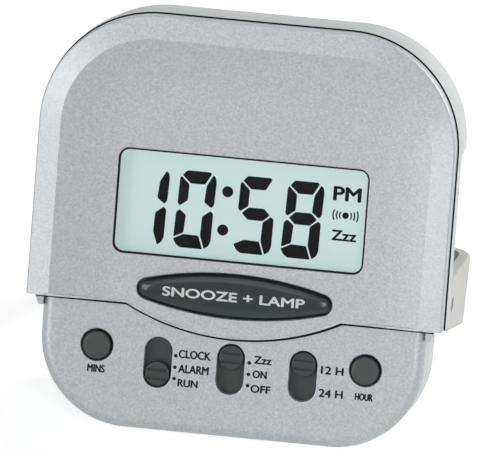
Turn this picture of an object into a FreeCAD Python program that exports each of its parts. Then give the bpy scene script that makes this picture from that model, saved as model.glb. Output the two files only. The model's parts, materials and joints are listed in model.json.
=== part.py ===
import FreeCAD, Part
import Sketcher
import math
import os
import re

# Folding travel alarm clock, leaning back on its swung-out stand.
# Every piece is drawn upright: X to the right, Y from the front face to the back, Z up from
# the bottom of the lower case. The whole clock is then leaned back and set on the floor.

# Driving dimensions in millimetres and degrees, each with what it measures
SIZES = [
    ("open_angle", 90, "how far the stand swings out from shut"),
    ("foot_start", 6.7, "depth at which the flat foot under the case begins"),
    ("wall", 1.8, "wall of the moulded shells"),
    ("seam", 0.15, "visible line between two shells"),
    ("slip", 0.1, "clearance round a piece that is set into another"),
    ("shell_margin", 11.6, "side of the front shell beyond the battery bay"),
    ("top_margin", 5.7, "top of the front shell above the battery bay"),
    ("shell_corner", 21.5, "corner radius of the front shell"),
    ("shell_depth", 5, "front shell, from its face back to the seam"),
    ("dip_half", 20.5, "half the width of the dip in the lower edge"),
    ("dip_drop", 5, "depth of the dip in the lower edge"),
    ("dip_gap", 1.2, "strip of the lower panel between the slots and the dip"),
    ("crease_inset", 4.4, "border width, from the outline to the crease"),
    ("crease_land", 0.1, "flat strip along the top of the crease"),
    ("border_drop", 1.2, "fall of the sloping border from the crease to its outer edge"),
    ("border_round", 0.4, "round of the border's outer edge"),
    ("dish_depth", 1, "depth of the dished face"),
    ("dish_slope", 11, "width of the dish's sloping rim"),
    ("edge_round", 0.4, "round of the edge of the bar's opening"),
    ("edge_bevel", 0.5, "bevel along the front shell's lower edge"),
    ("rim_step", 0.3, "step from the front shell out to the rear case's rim"),
    ("window_round", 0.3, "round of the window's edge"),
    ("window_margin", 15.75, "side of the window from the side of the front shell"),
    ("window_gap", 2.15, "window above the opening of the snooze bar"),
    ("window_height", 20, "height of the window"),
    ("window_corner", 2, "corner radius of the window"),
    ("window_sink", 0.3, "window plate below the dished face"),
    ("window_lip", 1, "rim of the window plate behind the shell"),
    ("bar_lift", 3.1, "centre of the snooze bar above the front shell's lower edge"),
    ("bar_half", 18.6, "half the length of the bar's opening"),
    ("bar_rise", 4.25, "half the height of the bar's opening"),
    ("bar_tip", 2, "end radius of the bar's opening"),
    ("bar_gap", 0.5, "gap round the snooze bar"),
    ("bar_rim", 0.6, "flange of the bar beyond its cap"),
    ("bar_proud", 1.1, "snooze bar above the dished face"),
    ("bar_travel", 0.7, "travel of the snooze bar"),
    ("bar_stem_offset", 9, "snooze bar stem from the middle"),
    ("panel_front", 3, "front of the lower panel"),
    ("panel_inset", 3, "side of the lower case from the side of the front shell"),
    ("panel_corner", 17, "corner radius of the lower case"),
    ("panel_back", 9.5, "back edge of the lower panel's sides"),
    ("panel_round", 2, "round of the lower panel's front edge"),
    ("panel_floor", 2.9, "inside bottom of the lower panel"),
    ("tongue_rise", 2.3, "lap of the lower panel under the front shell"),
    ("tongue_lap", 1.4, "lap of the panel under the dip"),
    ("tongue_sink", 0.8, "how far the panel's lap is set back from its face"),
    ("edge_gap", 0.35, "dark line between the front shell's lower edge and the panel"),
    ("lug_reach", 1.6, "how far a lug stands out from the lower case"),
    ("lug_height", 2, "height of a lug"),
    ("lug_depth", 3.3, "depth of a lug"),
    ("key_inset", 10.95, "button centre from the side of the lower case"),
    ("key_height", 15.4, "centre height of the buttons"),
    ("key_hole", 3.06, "radius of a button hole"),
    ("hole_round", 0.25, "round of the edges of the button holes and slots"),
    ("key_gap", 0.42, "gap round a button"),
    ("key_proud", 0.8, "button above the lower panel"),
    ("key_travel", 0.6, "travel of a button"),
    ("key_rim", 0.9, "flange of a button beyond its cap"),
    ("flange", 0.8, "thickness of the flanges behind the panels"),
    ("stem_radius", 1.5, "stem behind a button"),
    ("slot_spacing", 13.85, "distance between slot centres"),
    ("slot_bottom", 8.3, "lower end of the slots"),
    ("slot_length", 9.7, "length of a slot"),
    ("slot_width", 5.25, "width of a slot"),
    ("knob_gap", 0.27, "gap between a slide knob and its slot"),
    ("knob_sink", 0.2, "slide knob below the lower panel"),
    ("slide_half", 3.6, "half the width of a slide plate"),
    ("slide_cover", 0.3, "slide plate past the slot's far end"),
    ("dome_height", 0.5, "height of a rubber dome"),
    ("pad_height", 0.7, "thickness of a rubber pad"),
    ("key_play", 0.1, "space left under a pressed key"),
    ("glass_front", 4, "front of the display glass"),
    ("glass_thick", 2, "thickness of the display glass"),
    ("glass_lap", 1.65, "display glass beyond the sides of the window"),
    ("glass_low", 0.6, "display glass below the window"),
    ("glass_high", 1.7, "display glass above the window"),
    ("frame_wall", 1, "wall of the display holder"),
    ("guide_thick", 2.2, "thickness of the light guide"),
    ("connector_height", 1.4, "height of the rubber connector"),
    ("board_front", 9, "front of the circuit board"),
    ("board_thick", 1.2, "thickness of the circuit board"),
    ("board_gap", 0.8, "gap between the circuit board and the screw bosses"),
    ("board_bottom", 4.2, "lower edge of the circuit board"),
    ("board_lap", 1, "circuit board above the display glass"),
    ("board_corner", 11, "lower corner radius of the circuit board"),
    ("case_back", 22, "back of the lower case"),
    ("case_round", 5.5, "round of the lower case's back edge"),
    ("rim_back", 10, "back of the full-width rim beside the display"),
    ("head_lap", 1.6, "upper case below the battery bay"),
    ("head_round", 5, "round of the upper case's back edge"),
    ("head_slant", 0.8, "how much the deep upper case narrows on each side towards its back"),
    ("bay_play", 0.3, "play of the cell in the height of its bay"),
    ("bay_floor", 8.8, "front wall of the battery bay"),
    ("contact_room", 2.75, "room for a contact at each end of the cell"),
    ("cell_clear", 0.5, "space between the cell and the battery door"),
    ("cell_radius", 7.25, "radius of the battery cell"),
    ("cell_length", 49, "length of the cell without its nub"),
    ("nub_radius", 2.75, "radius of the cell's nub"),
    ("nub_length", 1.5, "length of the cell's nub"),
    ("strip", 0.4, "thickness of the contact strips"),
    ("contact_run", 3, "half the width of the battery contacts"),
    ("door_thick", 1.6, "thickness of the battery door"),
    ("door_lap", 0.8, "battery door past the bay at its ends and top"),
    ("door_gap", 0.2, "gap round the battery door"),
    ("door_tongue", 1, "tongues of the battery door"),
    ("door_travel", 14, "travel of the battery door"),
    ("door_corner", 3, "radius of the battery door's upper corners"),
    ("screw_inset", 4.6, "case screws from the side of the lower case"),
    ("screw_low", 20, "height of the lower case screws"),
    ("screw_drop", 3.5, "upper case screws below the deep upper case"),
    ("boss_radius", 2.6, "radius of a screw boss"),
    ("boss_split", 12, "plane where the screw bosses meet"),
    ("screw_radius", 0.9, "radius of a screw"),
    ("screw_pass", 1.1, "radius of a screw's clearance hole"),
    ("screw_head", 1.8, "radius of a screw head"),
    ("head_height", 1.2, "height of a screw head"),
    ("head_seat", 16, "plane where the case screw heads sit"),
    ("post_inset", 4.1, "board posts from the side of the circuit board"),
    ("post_low", 25, "height of the screwed board posts"),
    ("post_drop", 5.4, "plain board posts below the board's upper edge"),
    ("post_radius", 2.1, "radius of a board post"),
    ("buzzer_height", 40, "centre height of the sounder"),
    ("buzzer_radius", 10, "radius of the sounder"),
    ("buzzer_thick", 0.6, "thickness of the sounder"),
    ("pin_lift", 3.2, "hinge of the stand above the front shell's lower edge"),
    ("pin_depth", 17.5, "hinge of the stand behind the front face"),
    ("pin_radius", 1.5, "radius of a hinge pin"),
    ("pin_fit", 0.05, "running clearance of a hinge pin"),
    ("pin_boss", 3.1, "radius of the hinge boss inside the case"),
    ("stand_gap", 0.35, "gap between the stand's arms and the lower case"),
    ("stand_thick", 2.2, "wall of the stand"),
    ("stand_corner", 8.5, "outer corner radius of the stand"),
    ("stand_draft", 2, "slant of the stand's walls"),
    ("arm_width", 10.4, "width of the stand's arms at the hinge"),
    ("foot_gap", 0.6, "gap between the shut stand and the bottom of the case"),
    ("foot_front", 9.8, "front edge of the shut stand under the case"),
    ("foot_width", 14.4, "width of the stand's cross bar"),
    ("foot_round", 0.6, "round of the stand's outer edges"),
    ("reach", 100, "a length past every piece, for cuts that go right through"),
]

# Sizes that follow from the driving ones: the battery sets the width, and the front is stacked
# upwards from the slots
FOLLOWING = [
    ("bay_half", "(cell_length + nub_length) / 2 + contact_room", "half the length of the battery bay"),
    ("shell_half", "bay_half + shell_margin", "half the width of the front shell"),
    ("panel_half", "shell_half - panel_inset", "half the width of the lower case"),
    ("window_half", "shell_half - window_margin", "half the width of the window"),
    ("glass_half", "window_half + glass_lap", "half the width of the display glass"),
    ("key_offset", "panel_half - key_inset", "button centre from the middle"),
    ("screw_offset", "panel_half - screw_inset", "case screws from the middle"),
    ("board_half", "screw_offset - boss_radius - board_gap", "half the width of the circuit board"),
    ("post_offset", "board_half - post_inset", "board posts from the middle"),
    ("shell_bottom", "slot_bottom + slot_length + dip_gap + dip_drop", "lower edge of the front shell"),
    ("tongue_top", "shell_bottom + tongue_rise", "top of the lower panel under the front shell"),
    ("pin_height", "shell_bottom + pin_lift", "height of the stand's hinge"),
    ("bar_height", "shell_bottom + bar_lift", "centre height of the snooze bar"),
    ("window_bottom", "bar_height + bar_rise + window_gap", "lower edge of the window"),
    ("window_top", "window_bottom + window_height", "upper edge of the window"),
    ("glass_bottom", "window_bottom - glass_low", "lower edge of the display glass"),
    ("glass_top", "window_top + glass_high", "upper edge of the display glass"),
    ("board_top", "glass_top + board_lap", "upper edge of the circuit board"),
    ("post_high", "board_top - post_drop", "height of the plain board posts"),
    ("bay_bottom", "board_top + slip * 4 + wall", "lower side of the battery bay"),
    ("bay_height", "cell_radius * 2 + bay_play", "height of the battery bay"),
    ("head_bottom", "bay_bottom - head_lap", "underside of the deep upper case"),
    ("screw_high", "head_bottom - screw_drop", "height of the upper case screws"),
    ("shell_top", "bay_bottom + bay_height + top_margin", "top of the front shell"),
    ("head_back", "bay_floor + slip + cell_radius * 2 + cell_clear + door_thick",
     "back of the deep upper case"),
]

doc = FreeCAD.newDocument("travel_clock")
sheet = doc.addObject("Spreadsheet::Sheet", "sizes")
ALIASES = set()


def note_size(alias, size, meaning):
    """Adds a row to the sheet of sizes."""
    ALIASES.add(alias)
    row = len(ALIASES)
    sheet.set("A%d" % row, meaning)
    sheet.set("B%d" % row, size)
    sheet.setAlias("B%d" % row, alias)
    doc.recompute()


for alias, size, meaning in SIZES:
    note_size(alias, str(size), meaning)
for alias, rule, meaning in FOLLOWING:
    note_size(alias, "=" + rule, meaning)


# Expressions: a piece's sizes are written with the names above
def bound(text):
    """The expression as another object writes it, with the sheet's name before each alias."""
    return re.sub(r"[a-z_]+", lambda m: "sizes." + m.group() if m.group() in ALIASES else m.group(), text)


def number(text):
    """The value of an expression."""
    return float(sheet.evalExpression(text))


# Values that follow from the sizes
FACE = "dish_depth"
SHELL_INSIDE = "(dish_depth + wall)"
DIP_RADIUS = "((dip_half^2 + dip_drop^2) / (2 * dip_drop))"
DIP_CENTRE = "(shell_bottom - dip_drop + %s)" % DIP_RADIUS
PANEL_INSIDE = "(panel_front + wall)"
PANEL_HOLLOW = "(panel_half - wall)"
CASE_FRONT = "(panel_back + seam)"
RIM_FRONT = "(shell_depth + seam)"
BOARD_BACK = "(board_front + board_thick)"
CASE_INSIDE = "(case_back - wall)"
BAY_TOP = "(bay_bottom + bay_height)"
BAY_MIDDLE = "(bay_bottom + bay_height / 2)"
CELL_DEPTH = "(bay_floor + slip + cell_radius)"
CELL_RIGHT = "(bay_half - strip - slip)"
CELL_LEFT = "(%s - nub_length - cell_length)" % CELL_RIGHT
DOOR_INSIDE = "(head_back - door_thick)"
STAND_INSIDE = "(panel_half + stand_gap)"
STAND_OUTSIDE = "(panel_half + stand_gap + stand_thick)"
SLOT_LOW = "(slot_bottom + slot_width / 2)"
SLOT_HIGH = "(slot_bottom + slot_length - slot_width / 2)"
KNOB_TRAVEL = "(slot_length - slot_width)"
SLIDE_REACH = "(slot_length - slot_width / 2 + slide_cover)"
SLIDE_FRONT = "(%s + slip * 2)" % PANEL_INSIDE
GUIDE_FRONT = "(glass_front + glass_thick)"

# The lean is not chosen: the floor runs from the case's flat foot to the open stand
SIDEWAYS = FreeCAD.Vector(1, 0, 0)
SWING = FreeCAD.Placement(FreeCAD.Vector(), FreeCAD.Rotation(SIDEWAYS, number("open_angle")),
                          FreeCAD.Vector(0, number("pin_depth"), number("pin_height")))
FLOOR_DROP = "(foot_start * sin(lean_angle))"


def note_lean(stand):
    """Writes into the sheet the lean that puts the foot's start and the open stand on one floor."""
    opened = stand.Shape.copy()
    opened.Placement = SWING
    opened.translate(FreeCAD.Vector(0, -number("foot_start"), 0))
    low, high = 0.0, 60.0
    while high - low > 1e-6:
        middle = (low + high) / 2
        leaned = opened.copy()
        leaned.rotate(FreeCAD.Vector(), SIDEWAYS, -middle)
        if leaned.optimalBoundingBox(False).ZMin > 0:
            low = middle
        else:
            high = middle
    note_size("lean_angle", str(low), "how far the case leans back")


# Sketches
def sketch_on(body, plane, offset):
    """A sketch on one of the body's own planes, moved along that plane's normal."""
    sketch = body.newObject("Sketcher::SketchObject", "outline")
    support = [f for f in body.Origin.OriginFeatures if f.Role == plane][0]
    sketch.AttachmentSupport = [(support, "")]
    sketch.MapMode = "FlatFace"
    sketch.setExpression("AttachmentOffset.Base.z", bound(offset))
    return sketch


def constrain(sketch, kind, geometry, size):
    index = sketch.addConstraint(Sketcher.Constraint(kind, *geometry, number(size)))
    sketch.setExpression("Constraints[%d]" % index, bound(size))


def pin_point(sketch, geometry, point, place):
    constrain(sketch, "DistanceX", (-1, 1, geometry, point), place[0])
    constrain(sketch, "DistanceY", (-1, 1, geometry, point), place[1])


def arc_through(start, end, radius, side):
    """The short arc of this radius, with its centre left (1) or right (-1) of the chord."""
    chord = end - start
    half = chord.Length / 2
    normal = FreeCAD.Vector(-chord.y, chord.x, 0).normalize()
    centre = start + chord * 0.5 + normal * side * math.sqrt(max(radius**2 - half**2, 0))
    middle = centre - normal * side * radius
    return Part.Arc(start, middle, end)


def end_points(step):
    """The sketch's numbers for the start and end point of a step's line or arc."""
    # an arc runs counter-clockwise in a sketch, so one that turns right is stored end first
    if len(step) == 4 and step[3] < 0:
        return (2, 1)
    return (1, 2)


def closed_path(sketch, steps):
    """Lines and arcs through the steps: (x, y), or (x, y, radius, side) for an arc to the next."""
    spots = [FreeCAD.Vector(number(step[0]), number(step[1]), 0) for step in steps]
    first = len(sketch.Geometry)
    for index, step in enumerate(steps):
        start = spots[index]
        end = spots[(index + 1) % len(steps)]
        if len(step) == 2:
            sketch.addGeometry(Part.LineSegment(start, end))
        else:
            sketch.addGeometry(arc_through(start, end, number(step[2]), step[3]))
    for index, step in enumerate(steps):
        following = (index + 1) % len(steps)
        this_start, this_end = end_points(step)
        next_start = end_points(steps[following])[0]
        joint = Sketcher.Constraint("Coincident", first + index, this_end, first + following, next_start)
        sketch.addConstraint(joint)
        pin_point(sketch, first + index, this_start, step[:2])
        if len(step) == 4:
            constrain(sketch, "Radius", (first + index,), step[2])


def rounded_path(corners):
    """Steps for an outline with upright and level sides; a corner is (x, y) or (x, y, radius)."""
    spots = [(number(c[0]), number(c[1])) for c in corners]
    steps = []
    for index, corner in enumerate(corners):
        if len(corner) == 2:
            steps.append(corner)
            continue
        before = spots[index - 1]
        here = spots[index]
        after = spots[(index + 1) % len(corners)]
        arrive = (here[0] - before[0], here[1] - before[1])
        leave = (after[0] - here[0], after[1] - here[1])
        side = 1 if arrive[0] * leave[1] - arrive[1] * leave[0] > 0 else -1
        steps.append(shifted(corner, arrive, "-") + (corner[2], side))
        steps.append(shifted(corner, leave, "+"))
    return steps


def shifted(corner, direction, sign):
    """The corner moved by its radius back (-) or on (+) along an upright or level direction."""
    x, y, radius = corner
    flip = {"-": "+", "+": "-"}[sign]
    if abs(direction[0]) > abs(direction[1]):
        return ("%s %s %s" % (x, sign if direction[0] > 0 else flip, radius), y)
    return (x, "%s %s %s" % (y, sign if direction[1] > 0 else flip, radius))


def draw_path(steps):
    return lambda sketch: closed_path(sketch, steps)


def draw_rounded(*corners):
    return lambda sketch: closed_path(sketch, rounded_path(corners))


def rectangle(left, right, low, high, radius=None):
    corners = [(left, low), (right, low), (right, high), (left, high)]
    if radius:
        corners = [corner + (radius,) for corner in corners]
    return draw_rounded(*corners)


def circles(places, radius):
    def draw(sketch):
        for x, y in places:
            centre = FreeCAD.Vector(number(x), number(y), 0)
            index = sketch.addGeometry(Part.Circle(centre, FreeCAD.Vector(0, 0, 1), number(radius)))
            pin_point(sketch, index, 3, (x, y))
            constrain(sketch, "Radius", (index,), radius)
    return draw


def together(*drawings):
    def draw(sketch):
        for drawing in drawings:
            drawing(sketch)
    return draw


def both_sides(place):
    """A place on the right and its mirror image on the left."""
    x, y = place
    return [(x, y), ("-(%s)" % x, y)]


# Features
PLANES = {"front": "XZ_Plane", "side": "YZ_Plane", "level": "XY_Plane"}
ROUGH = 1e-6
NEAR = 0.02


def start_body(name):
    body = doc.addObject("PartDesign::Body", name)
    body.Label = name
    return body


def grow(body, plane, draw, start, end, draft=None):
    """Adds material to the body between two places along the plane's axis."""
    return extrude(body, "PartDesign::Pad", plane, draw, start, end, draft)


def cut(body, plane, draw, start, end, draft=None):
    """Takes material from the body between two places along the plane's axis."""
    return extrude(body, "PartDesign::Pocket", plane, draw, start, end, draft)


def extrude(body, kind, plane, draw, start, end, draft):
    before = body.Shape.Volume if body.Tip else 0
    # the front plane's own normal points towards the viewer, against the Y axis
    forward = plane == "front"
    sketch = sketch_on(body, PLANES[plane], "-(%s)" % start if forward else start)
    draw(sketch)
    feature = body.newObject(kind, "step")
    feature.Profile = sketch
    feature.setExpression("Length", bound("%s - (%s)" % (end, start)))
    feature.Reversed = forward if kind == "PartDesign::Pad" else not forward
    if draft:
        feature.setExpression("TaperAngle", bound(draft))
    doc.recompute()
    change = body.Shape.Volume - before
    if kind == "PartDesign::Pad" and change < ROUGH or kind == "PartDesign::Pocket" and change > -ROUGH:
        raise RuntimeError("%s: a step from %s to %s changes nothing" % (body.Label, start, end))
    return feature


def within(edge, x=None, y=None, z=None):
    """Whether the edge lies inside the given ranges."""
    box = edge.BoundBox
    spans = ((x, box.XMin, box.XMax), (y, box.YMin, box.YMax), (z, box.ZMin, box.ZMax))
    for span, low, high in spans:
        if span and (low < number(span[0]) - NEAR or high > number(span[1]) + NEAR):
            return False
    return True


def soften(body, kind, size, chosen, across=None):
    """Rounds or chamfers the edges that the test picks; a chamfer may be wider across the face."""
    names = ["Edge%d" % i for i, edge in enumerate(body.Shape.Edges, 1) if chosen(edge)]
    if not names:
        raise RuntimeError("%s: no edge to soften by %s" % (body.Label, size))
    base = body.Tip
    feature = body.newObject("PartDesign::" + kind, "softened")
    feature.Base = (base, names)
    feature.setExpression("Radius" if kind == "Fillet" else "Size", bound(size))
    if across:
        feature.ChamferType = "Two distances"
        feature.setExpression("Size2", bound(across))
    doc.recompute()
    if "Invalid" in feature.State:
        raise RuntimeError("%s: softening by %s failed" % (body.Label, size))
    return feature


# Outlines that several pieces share
def upper_outline(inset="0"):
    """The front shell's outline with its dipped lower edge."""
    half = "shell_half - %s" % inset
    return draw_path([
        ("-(%s)" % half, "shell_bottom"),
        ("-dip_half", "shell_bottom", DIP_RADIUS, 1),
        ("dip_half", "shell_bottom"),
        (half, "shell_bottom"),
        (half, "shell_top - shell_corner", "shell_corner - %s" % inset, 1),
        ("shell_half - shell_corner", "shell_top - %s" % inset),
        ("shell_corner - shell_half", "shell_top - %s" % inset, "shell_corner - %s" % inset, 1),
        ("-(%s)" % half, "shell_top - shell_corner"),
    ])


def arched_outline(inset, low):
    """The upper outline drawn inwards by an inset, with a level lower edge."""
    half = "(shell_half - %s)" % inset
    top = "(shell_top - %s)" % inset
    radius = "(shell_corner - %s)" % inset
    return draw_rounded(
        ("-%s" % half, low),
        (half, low),
        (half, top, radius),
        ("-%s" % half, top, radius),
    )


def lower_outline(half, low, high, radius):
    """An outline with two rounded lower corners and a level upper edge."""
    return draw_rounded(
        ("-(%s)" % half, low, radius),
        (half, low, radius),
        (half, high),
        ("-(%s)" % half, high),
    )


def lens_outline(offset):
    """The snooze bar's pointed oval, grown or shrunk by an offset."""
    half = "(bar_half + %s)" % offset
    rise = "(bar_rise + %s)" % offset
    tip = "(bar_tip + %s)" % offset
    sweep = "((({0} - {2})^2 / ({1} - {2}) + {1} + {2}) / 2)".format(half, rise, tip)
    touch_x = "((%s - %s) * %s / (%s - %s))" % (half, tip, sweep, sweep, tip)
    touch_y = "((%s - %s) * %s / (%s - %s))" % (sweep, rise, tip, sweep, tip)
    return draw_path([
        ("-%s" % touch_x, "bar_height - %s" % touch_y, sweep, 1),
        (touch_x, "bar_height - %s" % touch_y, tip, 1),
        (touch_x, "bar_height + %s" % touch_y, sweep, 1),
        ("-%s" % touch_x, "bar_height + %s" % touch_y, tip, 1),
    ])


def slot_outline(middle):
    """A slot with round ends, drawn as a tangent chain of two lines and two arcs."""
    def draw(sketch):
        radius = number("slot_width / 2")
        x = number(middle)
        first = len(sketch.Geometry)
        up = FreeCAD.Vector(0, 0, 1)
        for centre_y, begin in ((number(SLOT_HIGH), 0), (number(SLOT_LOW), math.pi)):
            circle = Part.Circle(FreeCAD.Vector(x, centre_y, 0), up, radius)
            sketch.addGeometry(Part.ArcOfCircle(circle, begin, begin + math.pi))
        for side in (-1, 1):
            low = FreeCAD.Vector(x + side * radius, number(SLOT_LOW), 0)
            high = FreeCAD.Vector(x + side * radius, number(SLOT_HIGH), 0)
            sketch.addGeometry(Part.LineSegment(high, low))
        top, bottom, left, right = range(first, first + 4)
        for arc, arc_end, line, line_end in (
                (top, 2, left, 1), (left, 2, bottom, 1), (bottom, 2, right, 2), (right, 1, top, 1)):
            sketch.addConstraint(Sketcher.Constraint("Tangent", arc, arc_end, line, line_end))
        pin_point(sketch, top, 3, (middle, SLOT_HIGH))
        pin_point(sketch, bottom, 3, (middle, SLOT_LOW))
        constrain(sketch, "Radius", (top,), "slot_width / 2")
    return draw


def cut_flat_foot(body):
    """Cuts the lower case along the floor, so that it rests on a flat facet."""
    rise = "(reach * tan(lean_angle))"
    wedge = draw_path([
        ("foot_start - reach", "-%s" % rise),
        ("foot_start + reach", "-%s" % rise),
        ("foot_start + reach", rise),
    ])
    cut(body, "side", wedge, "-reach", "reach")


SUBPARTS = []


def finish(body):
    SUBPARTS.append(body)
    return body


# Front shell, with its dished face
def make_upper_shell():
    body = start_body("upper_shell")
    grow(body, "front", upper_outline(), "0", "shell_depth")
    soften(body, "Chamfer", "border_drop", lambda e: within(e, y=("0", "0")) and above_edge(e),
           across="crease_inset - crease_land")
    soften(body, "Fillet", "border_round", lambda e: within(e, y=("border_drop",) * 2) and above_edge(e))
    sink_dish(body)
    cut(body, "front", arched_outline("wall", "0"), SHELL_INSIDE, "shell_depth")
    cut(body, "front", window_outline("0"), "0", "shell_depth")
    cut(body, "front", lens_outline("0"), "0", "shell_depth")
    places = both_sides(("screw_offset", "screw_high"))
    grow(body, "front", circles(places, "boss_radius"), SHELL_INSIDE, "boss_split")
    cut(body, "front", circles(places, "screw_radius"), "shell_depth", "boss_split")
    bar_area = {"x": ("-bar_half", "bar_half"), "z": ("bar_height - bar_rise", "bar_height + bar_rise")}
    soften(body, "Fillet", "edge_round", lambda e: within(e, y=(FACE, FACE), **bar_area))
    window_area = {"x": ("-window_half", "window_half"), "z": ("window_bottom", "window_top")}
    soften(body, "Fillet", "window_round", lambda e: within(e, y=(FACE, FACE), **window_area))
    soften(body, "Chamfer", "edge_bevel",
           lambda e: within(e, y=("0", FACE), z=("shell_bottom - dip_drop", "shell_bottom")))
    return finish(body)


def above_edge(edge):
    """Whether the edge reaches above the front shell's lower edge."""
    return edge.BoundBox.ZMax > number("shell_bottom + wall")


def sink_dish(body):
    """Lofts a dish into the face: it sinks quickly inside the crease, then levels out."""
    rings = []
    for share in (0, 0.25, 0.5, 0.75, 1):
        ring = sketch_on(body, "XZ_Plane", "-dish_depth * (1 - (1 - %s)^2)" % share)
        arched_outline("(crease_inset + dish_slope * %s)" % share, "0")(ring)
        rings.append(ring)
    dish = body.newObject("PartDesign::SubtractiveLoft", "dish")
    dish.Profile = rings[0]
    dish.Sections = rings[1:]
    doc.recompute()


def window_outline(offset):
    half = "(window_half + %s)" % offset
    return rectangle("-%s" % half, half, "window_bottom - %s" % offset, "window_top + %s" % offset,
                     "(window_corner + %s)" % offset)


# Clear window, set into the shell from behind
def make_display_window():
    body = start_body("display_window")
    grow(body, "front", window_outline("window_lip"), SHELL_INSIDE, "glass_front - slip * 2")
    grow(body, "front", window_outline("-slip"), "dish_depth + window_sink", SHELL_INSIDE)
    return finish(body)


# Snooze bar: a cap through the shell, a flange behind it and two stems
def make_snooze_bar():
    body = start_body("snooze_bar")
    flange_front = "(%s + slip * 2)" % SHELL_INSIDE
    grow(body, "front", lens_outline("-bar_gap"), "dish_depth - bar_proud", flange_front)
    soften(body, "Fillet", "bar_proud * 0.7", lambda e: within(e, y=("dish_depth - bar_proud",) * 2))
    grow(body, "front", lens_outline("(bar_rim - bar_gap)"), flange_front, "%s + flange" % flange_front)
    stems = circles(both_sides(("bar_stem_offset", "bar_height")), "stem_radius")
    stem_end = "board_front - pad_height - dome_height - key_play - bar_travel"
    grow(body, "front", stems, "%s + flange" % flange_front, stem_end)
    return finish(body)


# Lower front panel with its sides, lugs, button holes and slots
def make_control_panel():
    body = start_body("control_panel")
    tongue_radius = "(%s - tongue_lap)" % DIP_RADIUS
    tongue_half = "sqrt(%s^2 - (%s - tongue_top)^2)" % (tongue_radius, DIP_CENTRE)
    plate = draw_path([
        ("panel_corner - panel_half", "0"),
        ("panel_half - panel_corner", "0", "panel_corner", 1),
        ("panel_half", "panel_corner"),
        ("panel_half", "tongue_top"),
        (tongue_half, "tongue_top", tongue_radius, -1),
        ("-%s" % tongue_half, "tongue_top"),
        ("-panel_half", "tongue_top"),
        ("-panel_half", "panel_corner", "panel_corner", 1),
    ])
    grow(body, "front", plate, "panel_front", PANEL_INSIDE)
    sides = lower_outline("panel_half", "0", "shell_bottom - seam", "panel_corner")
    grow(body, "front", sides, PANEL_INSIDE, "panel_back")
    hollow = lower_outline(PANEL_HOLLOW, "panel_floor", "tongue_top", "(panel_corner - wall)")
    cut(body, "front", hollow, PANEL_INSIDE, "panel_back")
    soften(body, "Fillet", "panel_round",
           lambda e: within(e, y=("panel_front", "panel_front")) and not on_tongue(e))
    cut(body, "front", lap_outline(), "panel_front", "panel_front + tongue_sink")
    cut(body, "front", circles(both_sides(("key_offset", "key_height")), "key_hole"),
        "panel_front", PANEL_INSIDE)
    slots = together(*[slot_outline(middle) for middle in ("-slot_spacing", "0", "slot_spacing")])
    cut(body, "front", slots, "panel_front", PANEL_INSIDE)
    hole_area = {
        "x": ("-key_offset - key_hole", "key_offset + key_hole"),
        "z": ("slot_bottom", "key_height + key_hole"),
    }
    soften(body, "Fillet", "hole_round", lambda e: within(e, y=("panel_front", "panel_front"), **hole_area))
    grow(body, "front", lug_outline(1), "panel_front + slip", "panel_front + lug_depth")
    grow(body, "front", lug_outline(-1), "panel_front + slip", "panel_front + lug_depth")
    bosses = both_sides(("screw_offset", "screw_low"))
    grow(body, "front", circles(bosses, "boss_radius"), PANEL_INSIDE, "boss_split")
    cut(body, "front", circles(bosses, "screw_radius"), "%s + slip" % PANEL_INSIDE, "boss_split")
    cut_flat_foot(body)
    return finish(body)


def lap_outline():
    """The area of the panel's lap, from just below the front shell's dipped edge upwards."""
    edge = "(shell_bottom - edge_gap)"
    radius = "(%s + edge_gap)" % DIP_RADIUS
    half = "sqrt(%s^2 - (%s - %s)^2)" % (radius, DIP_CENTRE, edge)
    return draw_path([
        ("-shell_half", edge),
        ("-%s" % half, edge, radius, 1),
        (half, edge),
        ("shell_half", edge),
        ("shell_half", "tongue_top + wall"),
        ("-shell_half", "tongue_top + wall"),
    ])


def on_tongue(edge):
    """Whether the edge belongs to the panel's hidden upper edge."""
    return edge.BoundBox.ZMin > number("shell_bottom - dip_drop")


def lug_outline(side):
    """A tapered lug on the side of the lower case, under the front shell's corner."""
    top = "shell_bottom - seam"
    sign = "" if side > 0 else "-"
    steps = [
        ("%s(panel_half - slip)" % sign, "%s - lug_height" % top),
        ("%s(panel_half + lug_reach / 2)" % sign, "%s - lug_height" % top),
        ("%s(panel_half + lug_reach)" % sign, top),
        ("%s(panel_half - slip)" % sign, top),
    ]
    return draw_path(steps)


# Round push buttons
def make_button(name, middle):
    body = start_body(name)
    flange_front = "(%s + slip * 2)" % PANEL_INSIDE
    place = [(middle, "key_height")]
    front = "panel_front - key_proud"
    grow(body, "front", circles(place, "(key_hole - key_gap)"), front, flange_front)
    soften(body, "Fillet", "key_proud * 0.6", lambda e: within(e, y=(front, front)))
    grow(body, "front", circles(place, "(key_hole - key_gap + key_rim)"), flange_front,
         "%s + flange" % flange_front)
    stem_end = "board_front - pad_height - dome_height - key_play - key_travel"
    grow(body, "front", circles(place, "stem_radius"), "%s + flange" % flange_front, stem_end)
    return finish(body)


# Rubber pads on the board, with a dome under each key stem
def make_rubber(name, outline, domes):
    body = start_body(name)
    grow(body, "front", outline, "board_front - pad_height", "board_front")
    grow(body, "front", circles(domes, "(stem_radius + slip * 3)"),
         "board_front - pad_height - dome_height", "board_front - pad_height")
    return finish(body)


def make_rubbers():
    reach = "(bar_stem_offset + stem_radius * 2)"
    half_height = "stem_radius + slip * 4"
    strip = rectangle("-%s" % reach, reach, "bar_height - (%s)" % half_height,
                      "bar_height + %s" % half_height, "stem_radius")
    make_rubber("snooze_rubber", strip, both_sides(("bar_stem_offset", "bar_height")))
    for name, middle in (("minute_rubber", "-key_offset"), ("hour_rubber", "key_offset")):
        place = [(middle, "key_height")]
        make_rubber(name, circles(place, "stem_radius * 2"), place)


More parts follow.
